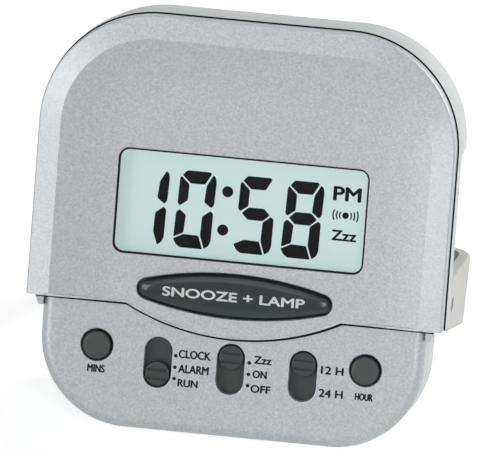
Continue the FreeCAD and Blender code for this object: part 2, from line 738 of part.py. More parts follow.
# Slide knobs on plates that close their slots from behind
def make_slide(name, middle, height):
    body = start_body(name)
    radius = "(slot_width / 2 - knob_gap)"
    front = "(panel_front + knob_sink)"
    plate = rectangle("%s - slide_half" % middle, "%s + slide_half" % middle,
                      "%s - %s" % (height, SLIDE_REACH), "%s + %s" % (height, SLIDE_REACH))
    grow(body, "front", plate, SLIDE_FRONT, "%s + flange" % SLIDE_FRONT)
    grow(body, "front", circles([(middle, height)], radius), front, SLIDE_FRONT)
    soften(body, "Fillet", "knob_sink * 1.5", lambda e: within(e, y=(front, front)))
    for place in ("%s + slot_width * 0.16", "%s - slot_width * 0.16"):
        grip = rectangle("%s - slot_width * 0.34" % middle, "%s + slot_width * 0.34" % middle,
                         "%s - knob_gap" % (place % height), "%s + knob_gap" % (place % height))
        cut(body, "front", grip, front, "%s + flange / 2" % front)
    return finish(body)


def make_wiper(name, middle, height):
    """A bent spring strip between the slide plate and the board."""
    body = start_body(name)
    near = "(%s + flange)" % SLIDE_FRONT
    far = "(board_front - slip)"
    foot = "slide_half"
    knee = "slide_half * 0.7"
    crown = "slide_half * 0.25"
    near_in = "%s + strip" % near
    far_in = "%s - strip" % far
    rise = (
        (near, foot),
        (near_in, foot),
        (near_in, "%s + strip / 2" % knee),
        (far, "%s + strip / 2" % crown),
    )
    back = ((far_in, crown), (near, knee))
    steps = [(y, "%s - %s" % (height, z)) for y, z in rise]
    steps += [(y, "%s + %s" % (height, z)) for y, z in reversed(rise)]
    steps += [(y, "%s + %s" % (height, z)) for y, z in reversed(back)]
    steps += [(y, "%s - %s" % (height, z)) for y, z in back]
    grow(body, "side", draw_path(steps), "%s - stem_radius" % middle, "%s + stem_radius" % middle)
    return finish(body)


# Display glass, its holder, the light guide, the lamp and the connector strip
def make_display():
    glass = start_body("lcd_panel")
    grow(glass, "front", rectangle("-glass_half", "glass_half", "glass_bottom", "glass_top"),
         "glass_front", GUIDE_FRONT)
    finish(glass)

    frame = start_body("lcd_frame")
    outer = "(glass_half + slip + frame_wall)"
    inner = "(glass_half + slip)"
    grow(frame, "front", rectangle("-%s" % outer, outer, "glass_bottom - slip - frame_wall",
                                   "glass_top + slip + frame_wall"), "glass_front", "board_front")
    cut(frame, "front", rectangle("-%s" % inner, inner, "glass_bottom - slip", "glass_top + slip"),
        "glass_front", "board_front")
    finish(frame)

    guide = start_body("light_guide")
    guide_back = "(%s + guide_thick)" % GUIDE_FRONT
    top = "(glass_top - connector_height - slip * 2)"
    grow(guide, "front", rectangle("-glass_half", "glass_half", "glass_bottom", top),
         GUIDE_FRONT, guide_back)
    low_feet = both_sides(("glass_half - stem_radius", "glass_bottom + stem_radius"))
    high_feet = both_sides(("glass_half - stem_radius", "%s - stem_radius" % top))
    grow(guide, "front", circles(low_feet + high_feet, "stem_radius / 2"), guide_back, "board_front")
    finish(guide)

    lamp = start_body("light_lamp")
    grow(lamp, "front", rectangle("glass_half - stem_radius * 4", "glass_half - stem_radius * 2",
                                  "(window_bottom + window_top) / 2 - stem_radius / 2",
                                  "(window_bottom + window_top) / 2 + stem_radius / 2"),
         "%s + slip" % guide_back, "board_front")
    finish(lamp)

    connector = start_body("lcd_connector")
    grow(connector, "front", rectangle("stem_radius - glass_half", "glass_half - stem_radius",
                                       "glass_top - connector_height", "glass_top"),
         GUIDE_FRONT, "board_front")
    finish(connector)


# Circuit board and what is soldered to it
def make_main_board():
    body = start_body("main_board")
    outline = lower_outline("board_half", "board_bottom", "board_top", "board_corner")
    grow(body, "front", outline, "board_front", BOARD_BACK)
    holes = circles(both_sides(("post_offset", "post_low")), "screw_pass")
    cut(body, "front", holes, "board_front", BOARD_BACK)
    return finish(body)


CHIP_RADIUS = "cell_radius * 0.6"
CRYSTAL_RADIUS = "stem_radius * 0.7"


def make_board_parts():
    chip = start_body("clock_chip")
    chip_top = "%s + board_thick" % BOARD_BACK
    grow(chip, "front", circles([("-post_offset / 2", "post_low + cell_radius * 1.6")], CHIP_RADIUS),
         BOARD_BACK, chip_top)
    soften(chip, "Fillet", "board_thick * 0.7", lambda e: within(e, y=(chip_top, chip_top)))
    finish(chip)

    crystal = start_body("quartz_crystal")
    grow(crystal, "side", circles([("%s + %s" % (BOARD_BACK, CRYSTAL_RADIUS), "post_low")], CRYSTAL_RADIUS),
         "key_travel * 10", "key_travel * 20")
    finish(crystal)

    # a row of small chip capacitors and resistors, and one can capacitor
    parts = start_body("board_parts")
    grow(parts, "front", circles([("slot_spacing", "slot_bottom + slot_width")], "slot_width / 2"),
         BOARD_BACK, "%s + slot_width" % BOARD_BACK)
    for step in range(5):
        left = "(board_corner - board_half + %d * stem_radius * 3)" % step
        grow(parts, "front", rectangle(left, "%s + stem_radius" % left, "slot_bottom + stem_radius",
                                       "slot_bottom + stem_radius * 3"),
             BOARD_BACK, "%s + flange" % BOARD_BACK)
    finish(parts)


# Back shell with the battery bay
def make_rear_case():
    body = start_body("rear_case")
    grow_head(body, "head_bottom")
    core = lower_outline("panel_half", "0", "%s" % BAY_MIDDLE, "panel_corner")
    grow(body, "front", core, CASE_FRONT, "case_back")
    lowest = number("head_bottom - wall")
    soften(body, "Fillet", "case_round",
           lambda e: within(e, y=("case_back", "case_back")) and e.BoundBox.ZMin < lowest)
    cut_flat_foot(body)
    hollow_rear_case(body)
    add_case_bosses(body)
    add_battery_bay(body)
    return finish(body)


def grow_head(body, low):
    """The rim round the display, and the deep upper case behind it down to a level."""
    grow(body, "front", arched_outline("-rim_step", "shell_bottom"), RIM_FRONT, "rim_back")
    grow(body, "front", arched_outline("-rim_step", low), "rim_back", "head_back")
    soften(body, "Chamfer", "head_slant", is_head_edge, "head_back - rim_back - wall")
    soften(body, "Fillet", "head_round", is_head_edge)


def door_outline(half, low, high, radius):
    """The battery door's outline, with rounded upper corners."""
    return draw_rounded(
        ("-%s" % half, low),
        (half, low),
        (half, high, radius),
        ("-%s" % half, high, radius),
    )


def hollow_rear_case(body):
    hollow_top = "(bay_bottom - wall)"
    cut(body, "front", arched_outline("wall", "shell_bottom + wall"), RIM_FRONT, "rim_back - wall")
    throat = rectangle("-%s" % PANEL_HOLLOW, PANEL_HOLLOW, "board_bottom - slip * 3", hollow_top)
    cut(body, "front", throat, RIM_FRONT, "rim_back")
    # the lower case is hollowed in two steps, to keep its wall over the sloping foot
    shallow = "(%s + slip * 4)" % BOARD_BACK
    near_floor = "board_bottom - slip * 3"
    far_floor = "((%s - foot_start) * tan(lean_angle) + wall)" % CASE_INSIDE
    radius = "(panel_corner - wall)"
    cut(body, "front", lower_outline(PANEL_HOLLOW, near_floor, hollow_top, radius), CASE_FRONT, shallow)
    cut(body, "front", lower_outline(PANEL_HOLLOW, far_floor, hollow_top, radius), shallow, CASE_INSIDE)
    soften(body, "Fillet", "case_round - wall",
           lambda e: within(e, y=(CASE_INSIDE,) * 2) and e.BoundBox.ZMin < number(hollow_top + " - wall"))
    # pockets beside the battery bay, in the upper corners
    inner = "(bay_half + door_lap + door_gap + door_tongue + wall / 2)"
    outer = "(shell_half - wall * 2)"
    high = "(shell_top - shell_corner + wall * 4)"
    for left, right in ((inner, outer), ("-" + outer, "-" + inner)):
        cut(body, "front", rectangle(left, right, "bay_bottom", high), RIM_FRONT, "head_back - head_round")


def add_case_bosses(body):
    places = both_sides(("screw_offset", "screw_low")) + both_sides(("screw_offset", "screw_high"))
    grow(body, "front", circles(places, "boss_radius"), "boss_split", "%s + slip" % CASE_INSIDE)
    cut(body, "front", circles(places, "screw_pass"), "boss_split", "reach")
    cut(body, "front", circles(places, "(screw_head + slip)"), "head_seat", "reach")
    low_posts = both_sides(("post_offset", "post_low"))
    posts = circles(low_posts + both_sides(("post_offset", "post_high")), "post_radius")
    grow(body, "front", posts, BOARD_BACK, "%s + slip" % CASE_INSIDE)
    cut(body, "front", circles(low_posts, "screw_radius"), BOARD_BACK, "head_seat")
    # ring that holds the sounder against the back wall, and its sound holes
    sounder = [("0", "buzzer_height")]
    ring = together(circles(sounder, "(buzzer_radius + slip)"),
                    circles(sounder, "(buzzer_radius + slip + frame_wall)"))
    grow(body, "front", ring, "%s - buzzer_thick * 4" % CASE_INSIDE, "%s + slip" % CASE_INSIDE)
    holes = list(sounder)
    for step in range(6):
        turn = 60 * step
        holes.append(("buzzer_radius * 0.4 * cos(%d)" % turn,
                      "buzzer_height + buzzer_radius * 0.4 * sin(%d)" % turn))
    cut(body, "front", circles(holes, "slip * 7"), CASE_INSIDE, "reach")
    # hinge bosses inside the two sides
    hinge = [("pin_depth", "pin_height")]
    boss_end = "(%s - stand_thick)" % PANEL_HOLLOW
    boss_root = "%s + slip" % PANEL_HOLLOW
    for start, end in ((boss_end, boss_root), ("-(%s)" % boss_root, "-%s" % boss_end)):
        grow(body, "side", circles(hinge, "pin_boss"), start, end)
    for start, end in ((boss_end, "reach"), ("-reach", "-%s" % boss_end)):
        cut(body, "side", circles(hinge, "pin_radius"), start, end)


def add_battery_bay(body):
    bay = rectangle("-bay_half", "bay_half", "bay_bottom", BAY_TOP)
    cut(body, "front", bay, "bay_floor", "reach")
    # recess for the door, open at the bottom, with a groove for its tongues on each side
    edge = "(bay_half + door_lap + door_gap)"
    top = "(%s + door_lap + door_gap)" % BAY_TOP
    recess = door_outline(edge, "head_bottom - wall", top, "(door_corner + door_gap)")
    cut(body, "front", recess, "%s - door_gap" % DOOR_INSIDE, "reach")
    groove = "(%s + door_tongue)" % edge
    cut(body, "front", rectangle("-%s" % groove, groove, "head_bottom - wall", "%s - door_travel / 2" % top),
        "%s - door_gap" % DOOR_INSIDE, "%s + door_thick / 2 + door_gap" % DOOR_INSIDE)
    # slots for the tails of the two contact strips, through the lower wall of the bay
    for left, right in (("bay_half - strip - slip", "bay_half"), ("-bay_half", "slip + strip - bay_half")):
        cut(body, "front", rectangle(left, right, "bay_bottom - wall * 2", "bay_bottom + wall"),
            "%s + slip * 5" % BOARD_BACK, "boss_split + contact_run")


# Battery door, rounded like the case, with tongues that run in the case's grooves
def make_battery_door():
    body = start_body("battery_door")
    edge = "(bay_half + door_lap)"
    low = "head_bottom + door_gap"
    top = "(%s + door_lap)" % BAY_TOP
    grow_head(body, low)
    everywhere = rectangle("-reach", "reach", "-reach", "reach")
    cut(body, "front", everywhere, RIM_FRONT, DOOR_INSIDE)
    outside = together(everywhere, door_outline(edge, low, top, "door_corner"))
    cut(body, "front", outside, DOOR_INSIDE, "head_back")
    tongue = "(%s + door_tongue)" % edge
    for left, right in ((edge, tongue), ("-%s" % tongue, "-%s" % edge)):
        grow(body, "front", rectangle(left, right, low, "%s - door_travel / 2" % top),
             DOOR_INSIDE, "%s + door_thick / 2" % DOOR_INSIDE)
    # grip ridges near the top edge
    for step in range(4):
        height = "(%s - door_travel / 4 - %d * door_thick)" % (top, step)
        grip = rectangle("-cell_radius", "cell_radius", height, "%s + door_thick / 3" % height)
        cut(body, "front", grip, "head_back - door_thick / 3", "head_back")
    return finish(body)


def is_head_edge(edge):
    """Whether the edge runs round the back of the upper case, other than along its underside."""
    return within(edge, y=("head_back", "head_back")) and edge.BoundBox.ZMax > number("head_bottom + wall")


# Battery cell and its two contact strips
def make_battery():
    cell = start_body("battery_cell")
    place = [(CELL_DEPTH, BAY_MIDDLE)]
    cell_end = "(%s + cell_length)" % CELL_LEFT
    grow(cell, "side", circles(place, "cell_radius"), CELL_LEFT, cell_end)
    soften(cell, "Fillet", "flange", lambda e: within(e, x=(CELL_LEFT, CELL_LEFT)) or
           within(e, x=(cell_end, cell_end)))
    grow(cell, "side", circles(place, "nub_radius"), cell_end, "%s + nub_length" % cell_end)
    finish(cell)

    plate = start_body("battery_plate")
    grow(plate, "side", contact_outline(), "bay_half - strip", "bay_half")
    finish(plate)

    spring = start_body("battery_spring")
    grow(spring, "side", contact_outline(), "-bay_half", "strip - bay_half")
    root = "(strip - bay_half)"
    bow = "(%s - %s - slip)" % (CELL_LEFT, root)
    half = "(cell_radius * 0.8)"
    outer = "((%s^2 + %s^2) / (2 * %s))" % (half, bow, bow)
    inner_half = "(%s - strip)" % half
    inner_bow = "(%s - strip)" % bow
    inner = "((%s^2 + %s^2) / (2 * %s))" % (inner_half, inner_bow, inner_bow)
    leaf = draw_path([
        (root, "%s - %s" % (BAY_MIDDLE, half), outer, 1),
        (root, "%s + %s" % (BAY_MIDDLE, half)),
        (root, "%s + %s" % (BAY_MIDDLE, inner_half), inner, -1),
        (root, "%s - %s" % (BAY_MIDDLE, inner_half)),
    ])
    grow(spring, "front", leaf, "%s - contact_run" % CELL_DEPTH, "%s + contact_run" % CELL_DEPTH)
    finish(spring)


def contact_outline():
    """Side view of a contact strip: a plate in the bay and a tail down to the board."""
    front = "(%s - contact_run)" % CELL_DEPTH
    back = "(%s + contact_run)" % CELL_DEPTH
    tail = "(boss_split + contact_run - slip)"
    low = "(board_top - contact_run)"
    return draw_path([
        (front, "%s - contact_run" % BAY_MIDDLE),
        (BOARD_BACK + " + slip * 6", "bay_bottom"),
        (BOARD_BACK + " + slip * 6", "board_top"),
        (BOARD_BACK, "board_top - slip * 3"),
        (BOARD_BACK, low),
        (tail, low),
        (tail, "bay_bottom"),
        (back, "%s - contact_run" % BAY_MIDDLE),
        (back, "%s + contact_run" % BAY_MIDDLE),
        (front, "%s + contact_run" % BAY_MIDDLE),
    ])


# Piezo sounder and its two contact pins
def make_buzzer():
    disc = start_body("buzzer_disc")
    front = "(%s - buzzer_thick)" % CASE_INSIDE
    grow(disc, "front", circles([("0", "buzzer_height")], "buzzer_radius"), front, CASE_INSIDE)
    finish(disc)
    contacts = start_body("buzzer_contacts")
    places = both_sides(("buzzer_radius * 0.4", "buzzer_height"))
    grow(contacts, "front", circles(places, "stem_radius / 2"), BOARD_BACK, front)
    finish(contacts)


# Screws, each group in one piece of the list
def make_screws():
    case = start_body("case_screws")
    places = both_sides(("screw_offset", "screw_low")) + both_sides(("screw_offset", "screw_high"))
    grow(case, "front", circles(places, "screw_radius"), "%s + slip" % RIM_FRONT, "head_seat")
    grow(case, "front", circles(places, "screw_head"), "head_seat", "head_seat + head_height")
    cut_crosses(case, places, "head_seat + head_height / 2", "head_seat + head_height")
    finish(case)
    board = start_body("board_screws")
    places = both_sides(("post_offset", "post_low"))
    grow(board, "front", circles(places, "screw_radius"), "board_front", "head_seat")
    grow(board, "front", circles(places, "screw_head"), "board_front - head_height", "board_front")
    cut_crosses(board, places, "board_front - head_height", "board_front - head_height / 2")
    finish(board)


def cut_crosses(body, places, start, end):
    """The cross slots in a group of screw heads."""
    long_half = "(screw_head * 0.6)"
    short_half = "(screw_head * 0.13)"
    for reach_x, reach_y in ((long_half, short_half), (short_half, long_half)):
        bars = [rectangle("%s - %s" % (x, reach_x), "%s + %s" % (x, reach_x),
                          "%s - %s" % (y, reach_y), "%s + %s" % (y, reach_y)) for x, y in places]
        cut(body, "front", together(*bars), start, end)


# Stand: a U-shaped band that wraps round the lower case when shut
def make_stand():
    body = start_body("stand")
    foot_back = "(foot_front + foot_width)"
    low = "(-foot_gap - stand_thick)"
    top = "(pin_height + arm_width)"
    outer = lower_outline(STAND_OUTSIDE, low, top, "stand_corner")
    grow(body, "front", outer, "foot_front", foot_back, "stand_draft")
    inner = lower_outline(STAND_INSIDE, "-foot_gap", "%s + reach" % top, "(stand_corner - stand_thick)")
    cut(body, "front", inner, "foot_front", foot_back, "stand_draft")
    # the side view is trimmed to tapering arms with a round end about the hinge
    half = "(arm_width / 2)"
    front_slope = "((pin_depth - {0} - foot_front) / (pin_height - {1}))".format(half, low)
    back_slope = "(({2} - pin_depth - {0}) / (pin_height - {1}))".format(half, low, foot_back)
    trim = draw_path([
        ("foot_front - reach * %s" % front_slope, "%s - reach" % low),
        ("pin_depth - %s" % half, "pin_height", half, -1),
        ("pin_depth", "pin_height + %s" % half, half, -1),
        ("pin_depth + %s" % half, "pin_height"),
        ("%s + reach * %s" % (foot_back, back_slope), "%s - reach" % low),
        ("reach * 2", "%s - reach" % low),
        ("reach * 2", "reach"),
        ("-reach", "reach"),
        ("-reach", "%s - reach" % low),
    ])
    cut(body, "side", trim, "-reach", "reach")
    soften(body, "Fillet", "foot_round", is_stand_front)
    cut(body, "side", circles([("pin_depth", "pin_height")], "(pin_radius + pin_fit)"), "-reach", "reach")
    note_lean(body)
    return finish(body)


def is_stand_front(edge):
    """Whether the edge is an outer one on the front of the shut stand."""
    along = [edge.valueAt(edge.FirstParameter + part * (edge.LastParameter - edge.FirstParameter))
             for part in (0.1, 0.5, 0.9)]
    low = number("-foot_gap - stand_thick")
    lean_in = (number("pin_depth - arm_width / 2") - number("foot_front")) / (number("pin_height") - low)
    middle_wall = number("%s + stand_thick / 2" % STAND_INSIDE)
    for spot in along:
        if abs(spot.y - number("foot_front") - lean_in * (spot.z - low)) > NEAR:
            return False
        if spot.z > low + number("stand_thick / 2") and abs(spot.x) < middle_wall - number("stand_corner"):
            return False
        if inner_side(spot):
            return False
    return True


def inner_side(spot):
    """Whether a place on the stand lies nearer its inner wall than its outer wall."""
    half = number(STAND_OUTSIDE)
    low = number("-foot_gap - stand_thick")
    corner = number("stand_corner")
    across = abs(spot.x) - (half - corner)
    down = low + corner - spot.z
    if across > 0 and down > 0:
        outward = math.hypot(across, down)
    else:
        outward = max(across, down)
    return outward < corner - number("stand_thick / 2")


# Hinge pins, pressed into the case from the side
def make_stand_pins():
    inner = "(%s - stand_thick)" % PANEL_HOLLOW
    outer = "(%s - slip * 3)" % STAND_OUTSIDE
    hinge = [("pin_depth", "pin_height")]
    places = (("stand_pin_right", inner, outer), ("stand_pin_left", "-" + outer, "-" + inner))
    for name, start, end in places:
        body = start_body(name)
        grow(body, "side", circles(hinge, "pin_radius"), start, end)
        finish(body)


# The clock set together
def build_pieces():
    make_stand()
    make_upper_shell()
    make_display_window()
    make_snooze_bar()
    make_control_panel()
    make_button("minute_button", "-key_offset")
    make_button("hour_button", "key_offset")
    make_rubbers()
    for name, middle, height in (("mode", "-slot_spacing", SLOT_LOW),
                                 ("alarm", "0", SLOT_HIGH),
                                 ("format", "slot_spacing", SLOT_HIGH)):
        make_slide(name + "_knob", middle, height)
        make_wiper(name + "_wiper", middle, height)
    make_display()
    make_main_board()
    make_board_parts()
    make_rear_case()
    make_battery_door()
    make_battery()
    make_buzzer()
    make_screws()
    make_stand_pins()


def set_in_place():
    """Opens the stand, leans the clock back and centres it on the floor."""
    lean = FreeCAD.Placement(FreeCAD.Vector(0, 0, number(FLOOR_DROP)),
                             FreeCAD.Rotation(SIDEWAYS, -number("lean_angle")))
    box = FreeCAD.BoundBox()
    for body in SUBPARTS:
        body.Placement = lean * SWING if body.Label == "stand" else lean
        box.add(body.Shape.optimalBoundingBox(False))
    middle = FreeCAD.Placement(FreeCAD.Vector(0, -box.Center.y, 0), FreeCAD.Rotation())
    for body in SUBPARTS:
        body.Placement = middle * body.Placement
    doc.recompute()
    return middle * lean


def check_and_export():
    for item in doc.Objects:
        if "Invalid" in item.State or "Error" in item.State:
            raise RuntimeError("%s failed" % item.Name)
    os.makedirs("parts", exist_ok=True)
    for body in SUBPARTS:
        shape = body.Shape
        if shape.isNull() or not shape.isValid() or not shape.Solids:
            raise RuntimeError("%s has no valid solid" % body.Label)
        shape.exportStep("parts/%s.step" % body.Label)
        print(body.Label, len(shape.Solids), round(shape.Volume, 1))


def print_places(clock):
    """Prints the joint axes and travels, for the record."""
    def world(x, y, z):
        return clock.multVec(FreeCAD.Vector(x, y, z))

    print("corner of the upright frame", world(0, 0, 0))
    inward = clock.Rotation.multVec(FreeCAD.Vector(0, 1, 0))
    downward = clock.Rotation.multVec(FreeCAD.Vector(0, 0, -1))
    print("press direction", inward)
    print("down along the case", downward)
    print("stand hinge", world(0, number("pin_depth"), number("pin_height")))
    print("lean", number("lean_angle"))
    for name in ("bar_travel", "key_travel", KNOB_TRAVEL, "door_travel", "open_angle"):
        print(name, number(name))
    for name, x, y, z in (("snooze_bar", "0", FACE, "bar_height"),
                          ("minute_button", "-key_offset", "panel_front", "key_height"),
                          ("hour_button", "key_offset", "panel_front", "key_height"),
                          ("mode_knob", "-slot_spacing", "panel_front", SLOT_LOW),
                          ("alarm_knob", "0", "panel_front", SLOT_HIGH),
                          ("format_knob", "slot_spacing", "panel_front", SLOT_HIGH),
                          ("battery_door", "0", "head_back", BAY_MIDDLE)):
        print(name, world(number(x), number(y), number(z)))


build_pieces()
CLOCK = set_in_place()
check_and_export()
print_places(CLOCK)
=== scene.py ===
import bmesh
import bpy
import json
import math
from mathutils import Matrix, Vector


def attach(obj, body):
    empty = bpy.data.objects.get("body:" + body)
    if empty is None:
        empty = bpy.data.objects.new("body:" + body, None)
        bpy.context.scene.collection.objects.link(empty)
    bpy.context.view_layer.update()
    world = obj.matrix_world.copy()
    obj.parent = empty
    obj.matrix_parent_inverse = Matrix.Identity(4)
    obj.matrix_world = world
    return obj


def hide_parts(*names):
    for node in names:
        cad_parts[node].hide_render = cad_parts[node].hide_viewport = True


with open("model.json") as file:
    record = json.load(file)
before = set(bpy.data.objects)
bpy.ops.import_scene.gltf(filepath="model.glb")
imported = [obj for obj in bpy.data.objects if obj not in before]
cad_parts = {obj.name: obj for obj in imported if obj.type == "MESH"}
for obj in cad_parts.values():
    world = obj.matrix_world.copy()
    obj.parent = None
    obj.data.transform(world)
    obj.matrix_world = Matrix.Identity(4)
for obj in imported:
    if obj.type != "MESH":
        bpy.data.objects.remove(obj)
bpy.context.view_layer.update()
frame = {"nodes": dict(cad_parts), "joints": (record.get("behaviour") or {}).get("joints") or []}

# The clock leans back. Pieces made here are drawn upright in millimetres, as the clock's own
# drawing is: X to the right, Y from the front face to the back, Z up from the lower case.
PIN_DEPTH = 17.5
PIN_HEIGHT = 27.4
joints = {joint["name"]: joint for joint in frame["joints"]}
inward = Vector(joints["snooze_press"]["axis"])
upward = Vector((0, -inward.z, inward.y))
hinge = Vector(joints["stand_hinge"]["pos_m"])
corner = hinge - (inward * PIN_DEPTH + upward * PIN_HEIGHT) / 1000
turn = Matrix((Vector((1, 0, 0)), inward, upward)).transposed()
UPRIGHT = Matrix.Translation(corner) @ turn.to_4x4() @ Matrix.Scale(0.001, 4)

FACE = 1.0
PANEL = 3.0
GLASS = 4.0


def upright_box(name):
    """Lowest and highest corners of a node in the upright drawing, in millimetres."""
    back = UPRIGHT.inverted()
    points = [back @ vertex.co for vertex in frame["nodes"][name].data.vertices]
    return [[pick(point[axis] for point in points) for axis in range(3)] for pick in (min, max)]


# Sizes shared with the case
SHELL_LOW, SHELL_HIGH = upright_box("upper_shell")
SHELL_HALF = SHELL_HIGH[0]
SHELL_TOP = SHELL_HIGH[2]
SHELL_DEPTH = 5.0
SHELL_CORNER = 21.5
DIP_HALF = 20.5
DIP_DROP = 5.0
DIP_RADIUS = (DIP_HALF ** 2 + DIP_DROP ** 2) / (2 * DIP_DROP)
SHELL_BOTTOM = SHELL_LOW[2] + DIP_DROP
PANEL_HALF = upright_box("control_panel")[1][0]
WINDOW_LIP = 1.0
WINDOW_LOW, WINDOW_HIGH = upright_box("display_window")
WINDOW_CORNER = 2.0
EDGE_BEVEL = 0.5
BORDER_DROP = 1.2
CREASE_HALF = SHELL_HALF - 4.4
DISH_HALF = CREASE_HALF - 11.0


def place(mesh):
    """Moves a mesh from the upright drawing to where the clock stands."""
    mesh.transform(UPRIGHT)
    mesh.update()


# Camera: a long lens, at the photograph's angle, with its axes given in the upright drawing
FRAME_WIDTH = 94.3
DISTANCE = 2.6
SENSOR_WIDTH = 36
CLIP_START = 0.1
CLIP_END = 100
VIEW_RIGHT = Vector((0.9872, 0.1408, 0.0758))
VIEW_UP = Vector((-0.0951, 0.1355, 0.9860))
VIEW_BACK = Vector((0.1286, -0.9806, 0.1472))
TARGET = VIEW_RIGHT * 5.13 + VIEW_UP * 40.17


def make_camera():
    data = bpy.data.cameras.new("camera")
    data.sensor_width = SENSOR_WIDTH
    data.lens = data.sensor_width * DISTANCE * 1000 / FRAME_WIDTH
    data.clip_start = CLIP_START
    data.clip_end = CLIP_END
    camera = bpy.data.objects.new("camera", data)
    right = (turn @ VIEW_RIGHT).normalized()
    back = (turn @ VIEW_BACK).normalized()
    up = back.cross(right)
    axes = Matrix((right, up, back)).transposed().to_4x4()
    camera.matrix_world = Matrix.Translation(UPRIGHT @ TARGET + back * DISTANCE) @ axes
    bpy.context.scene.collection.objects.link(camera)
    bpy.context.scene.camera = camera


# Node helpers
TEXTURE_LOW = 0.3
TEXTURE_HIGH = 0.7


def new_material(name, colour, roughness, metallic=0.0, **others):
    material = bpy.data.materials.new(name)
    material.use_nodes = True
    shader = material.node_tree.nodes["Principled BSDF"]
    shader.inputs["Base Color"].default_value = (*colour, 1)
    shader.inputs["Roughness"].default_value = roughness
    shader.inputs["Metallic"].default_value = metallic
    for socket, value in others.items():
        shader.inputs[socket.replace("_", " ")].default_value = value
    return material


def node(material, kind, **values):
    made = material.node_tree.nodes.new(kind)
    for name, value in values.items():
        setattr(made, name, value)
    return made


def join(material, source, target):
    material.node_tree.links.new(source, target)


def shader_of(material):
    return material.node_tree.nodes["Principled BSDF"]


def millimetres(material):
    """The object's own coordinates in millimetres."""
    where = node(material, "ShaderNodeTexCoord")
    scaled = node(material, "ShaderNodeVectorMath", operation="SCALE")
    scaled.inputs["Scale"].default_value = 1000
    join(material, where.outputs["Object"], scaled.inputs[0])
    return scaled.outputs[0]


def noise(material, where, scale, detail=2.0):
    made = node(material, "ShaderNodeTexNoise")
    made.inputs["Scale"].default_value = scale
    made.inputs["Detail"].default_value = detail
    join(material, where, made.inputs["Vector"])
    return made.outputs["Fac"]


def spread(material, value, low, high):
    """A texture's usual range of values stretched to the range from low to high."""
    made = node(material, "ShaderNodeMapRange")
    made.inputs["From Min"].default_value = TEXTURE_LOW
    made.inputs["From Max"].default_value = TEXTURE_HIGH
    made.inputs["To Min"].default_value = low
    made.inputs["To Max"].default_value = high
    join(material, value, made.inputs["Value"])
    return made.outputs["Result"]


def vary_colour(material, value, dark, light):
    made = node(material, "ShaderNodeMix", data_type="RGBA")
    made.inputs["A"].default_value = (*dark, 1)
    made.inputs["B"].default_value = (*light, 1)
    join(material, value, made.inputs["Factor"])
    join(material, made.outputs["Result"], shader_of(material).inputs["Base Color"])


def vary_roughness(material, value, low, high):
    join(material, spread(material, value, low, high), shader_of(material).inputs["Roughness"])


def roughen(material, value, strength, depth):
    """Bump from a texture value; the depth is in millimetres."""
    made = node(material, "ShaderNodeBump")
    made.inputs["Strength"].default_value = strength
    made.inputs["Distance"].default_value = depth / 1000
    join(material, value, made.inputs["Height"])
    join(material, made.outputs["Normal"], shader_of(material).inputs["Normal"])


# Materials
SILVER = (0.49, 0.51, 0.52)
SILVER_DARK = (0.387, 0.412, 0.427)
SILVER_LIGHT = (0.59, 0.606, 0.618)
FLAKE_SCALE = 3.6
FLAKE_SHARE = 0.45
SILVER_GRAIN_SHARE = 0.55


def silver_lacquer():
    """Metallic lacquer: fine flakes of slightly different brightness under a satin coat."""
    material = new_material("silver_lacquer", SILVER, 0.42, 0.5)
    where = millimetres(material)
    flakes = node(material, "ShaderNodeTexVoronoi")
    flakes.inputs["Scale"].default_value = FLAKE_SCALE
    join(material, where, flakes.inputs["Vector"])
    grey = node(material, "ShaderNodeSeparateColor")
    join(material, flakes.outputs["Color"], grey.inputs["Color"])
    fine = noise(material, where, 2.4, 3.0)
    mixed = node(material, "ShaderNodeMath", operation="MULTIPLY_ADD")
    mixed.inputs[1].default_value = FLAKE_SHARE
    join(material, grey.outputs["Red"], mixed.inputs[0])
    join(material, spread(material, fine, 0.0, SILVER_GRAIN_SHARE), mixed.inputs[2])
    vary_colour(material, mixed.outputs[0], SILVER_DARK, SILVER_LIGHT)
    vary_roughness(material, fine, 0.37, 0.48)
    roughen(material, fine, 0.25, 0.02)
    return material


# Plain plastics
CLOUD_SCALE = 0.12
GRAIN_SHARE = 0.5
ROUGHNESS_SPREAD = 0.15


def plain_plastic(name, colour, roughness, grain=3.0, shade=0.06, depth=0.02, strength=0.2, **others):
    """Moulded plastic with a fine sparked grain and a faint cloudiness."""
    material = new_material(name, colour, roughness, **others)
    where = millimetres(material)
    cloud = noise(material, where, CLOUD_SCALE, 2.0)
    fine = noise(material, where, grain, 2.0)
    both = node(material, "ShaderNodeMath", operation="MULTIPLY_ADD")
    both.inputs[1].default_value = 1 - GRAIN_SHARE
    join(material, cloud, both.inputs[0])
    join(material, spread(material, fine, 0.0, GRAIN_SHARE), both.inputs[2])
    dark = tuple(c * (1 - shade) for c in colour)
    light = tuple(min(c * (1 + shade), 1) for c in colour)
    vary_colour(material, both.outputs[0], dark, light)
    smooth = roughness * (1 - ROUGHNESS_SPREAD)
    coarse = min(roughness * (1 + ROUGHNESS_SPREAD), 1)
    vary_roughness(material, fine, smooth, coarse)
    roughen(material, fine, strength, depth)
    return material


# Display glass
MINT = (0.40, 0.50, 0.485)
MINT_DARK = (0.39, 0.49, 0.475)
MINT_LIGHT = (0.41, 0.51, 0.495)
# painted light: the display glass glows evenly, filling in the shade from the window's recess
MINT_PAINTED_GLOW = (0.56, 0.70, 0.68, 1)
MINT_PAINTED_GLOW_STRENGTH = 0.73


def display_mint():
    """Pale display glass with painted light: an even glow that lifts it and fills in the shade that the
    window's recess casts on it.
    """
    material = new_material("display_mint", MINT, 0.5, Emission_Color=MINT_PAINTED_GLOW,
                            Emission_Strength=MINT_PAINTED_GLOW_STRENGTH)
    where = millimetres(material)
    cloud = noise(material, where, 0.05, 1.0)
    vary_colour(material, cloud, MINT_DARK, MINT_LIGHT)
    fine = noise(material, where, 8.0)
    vary_roughness(material, fine, 0.45, 0.55)
    roughen(material, fine, 0.05, 0.003)
    return material


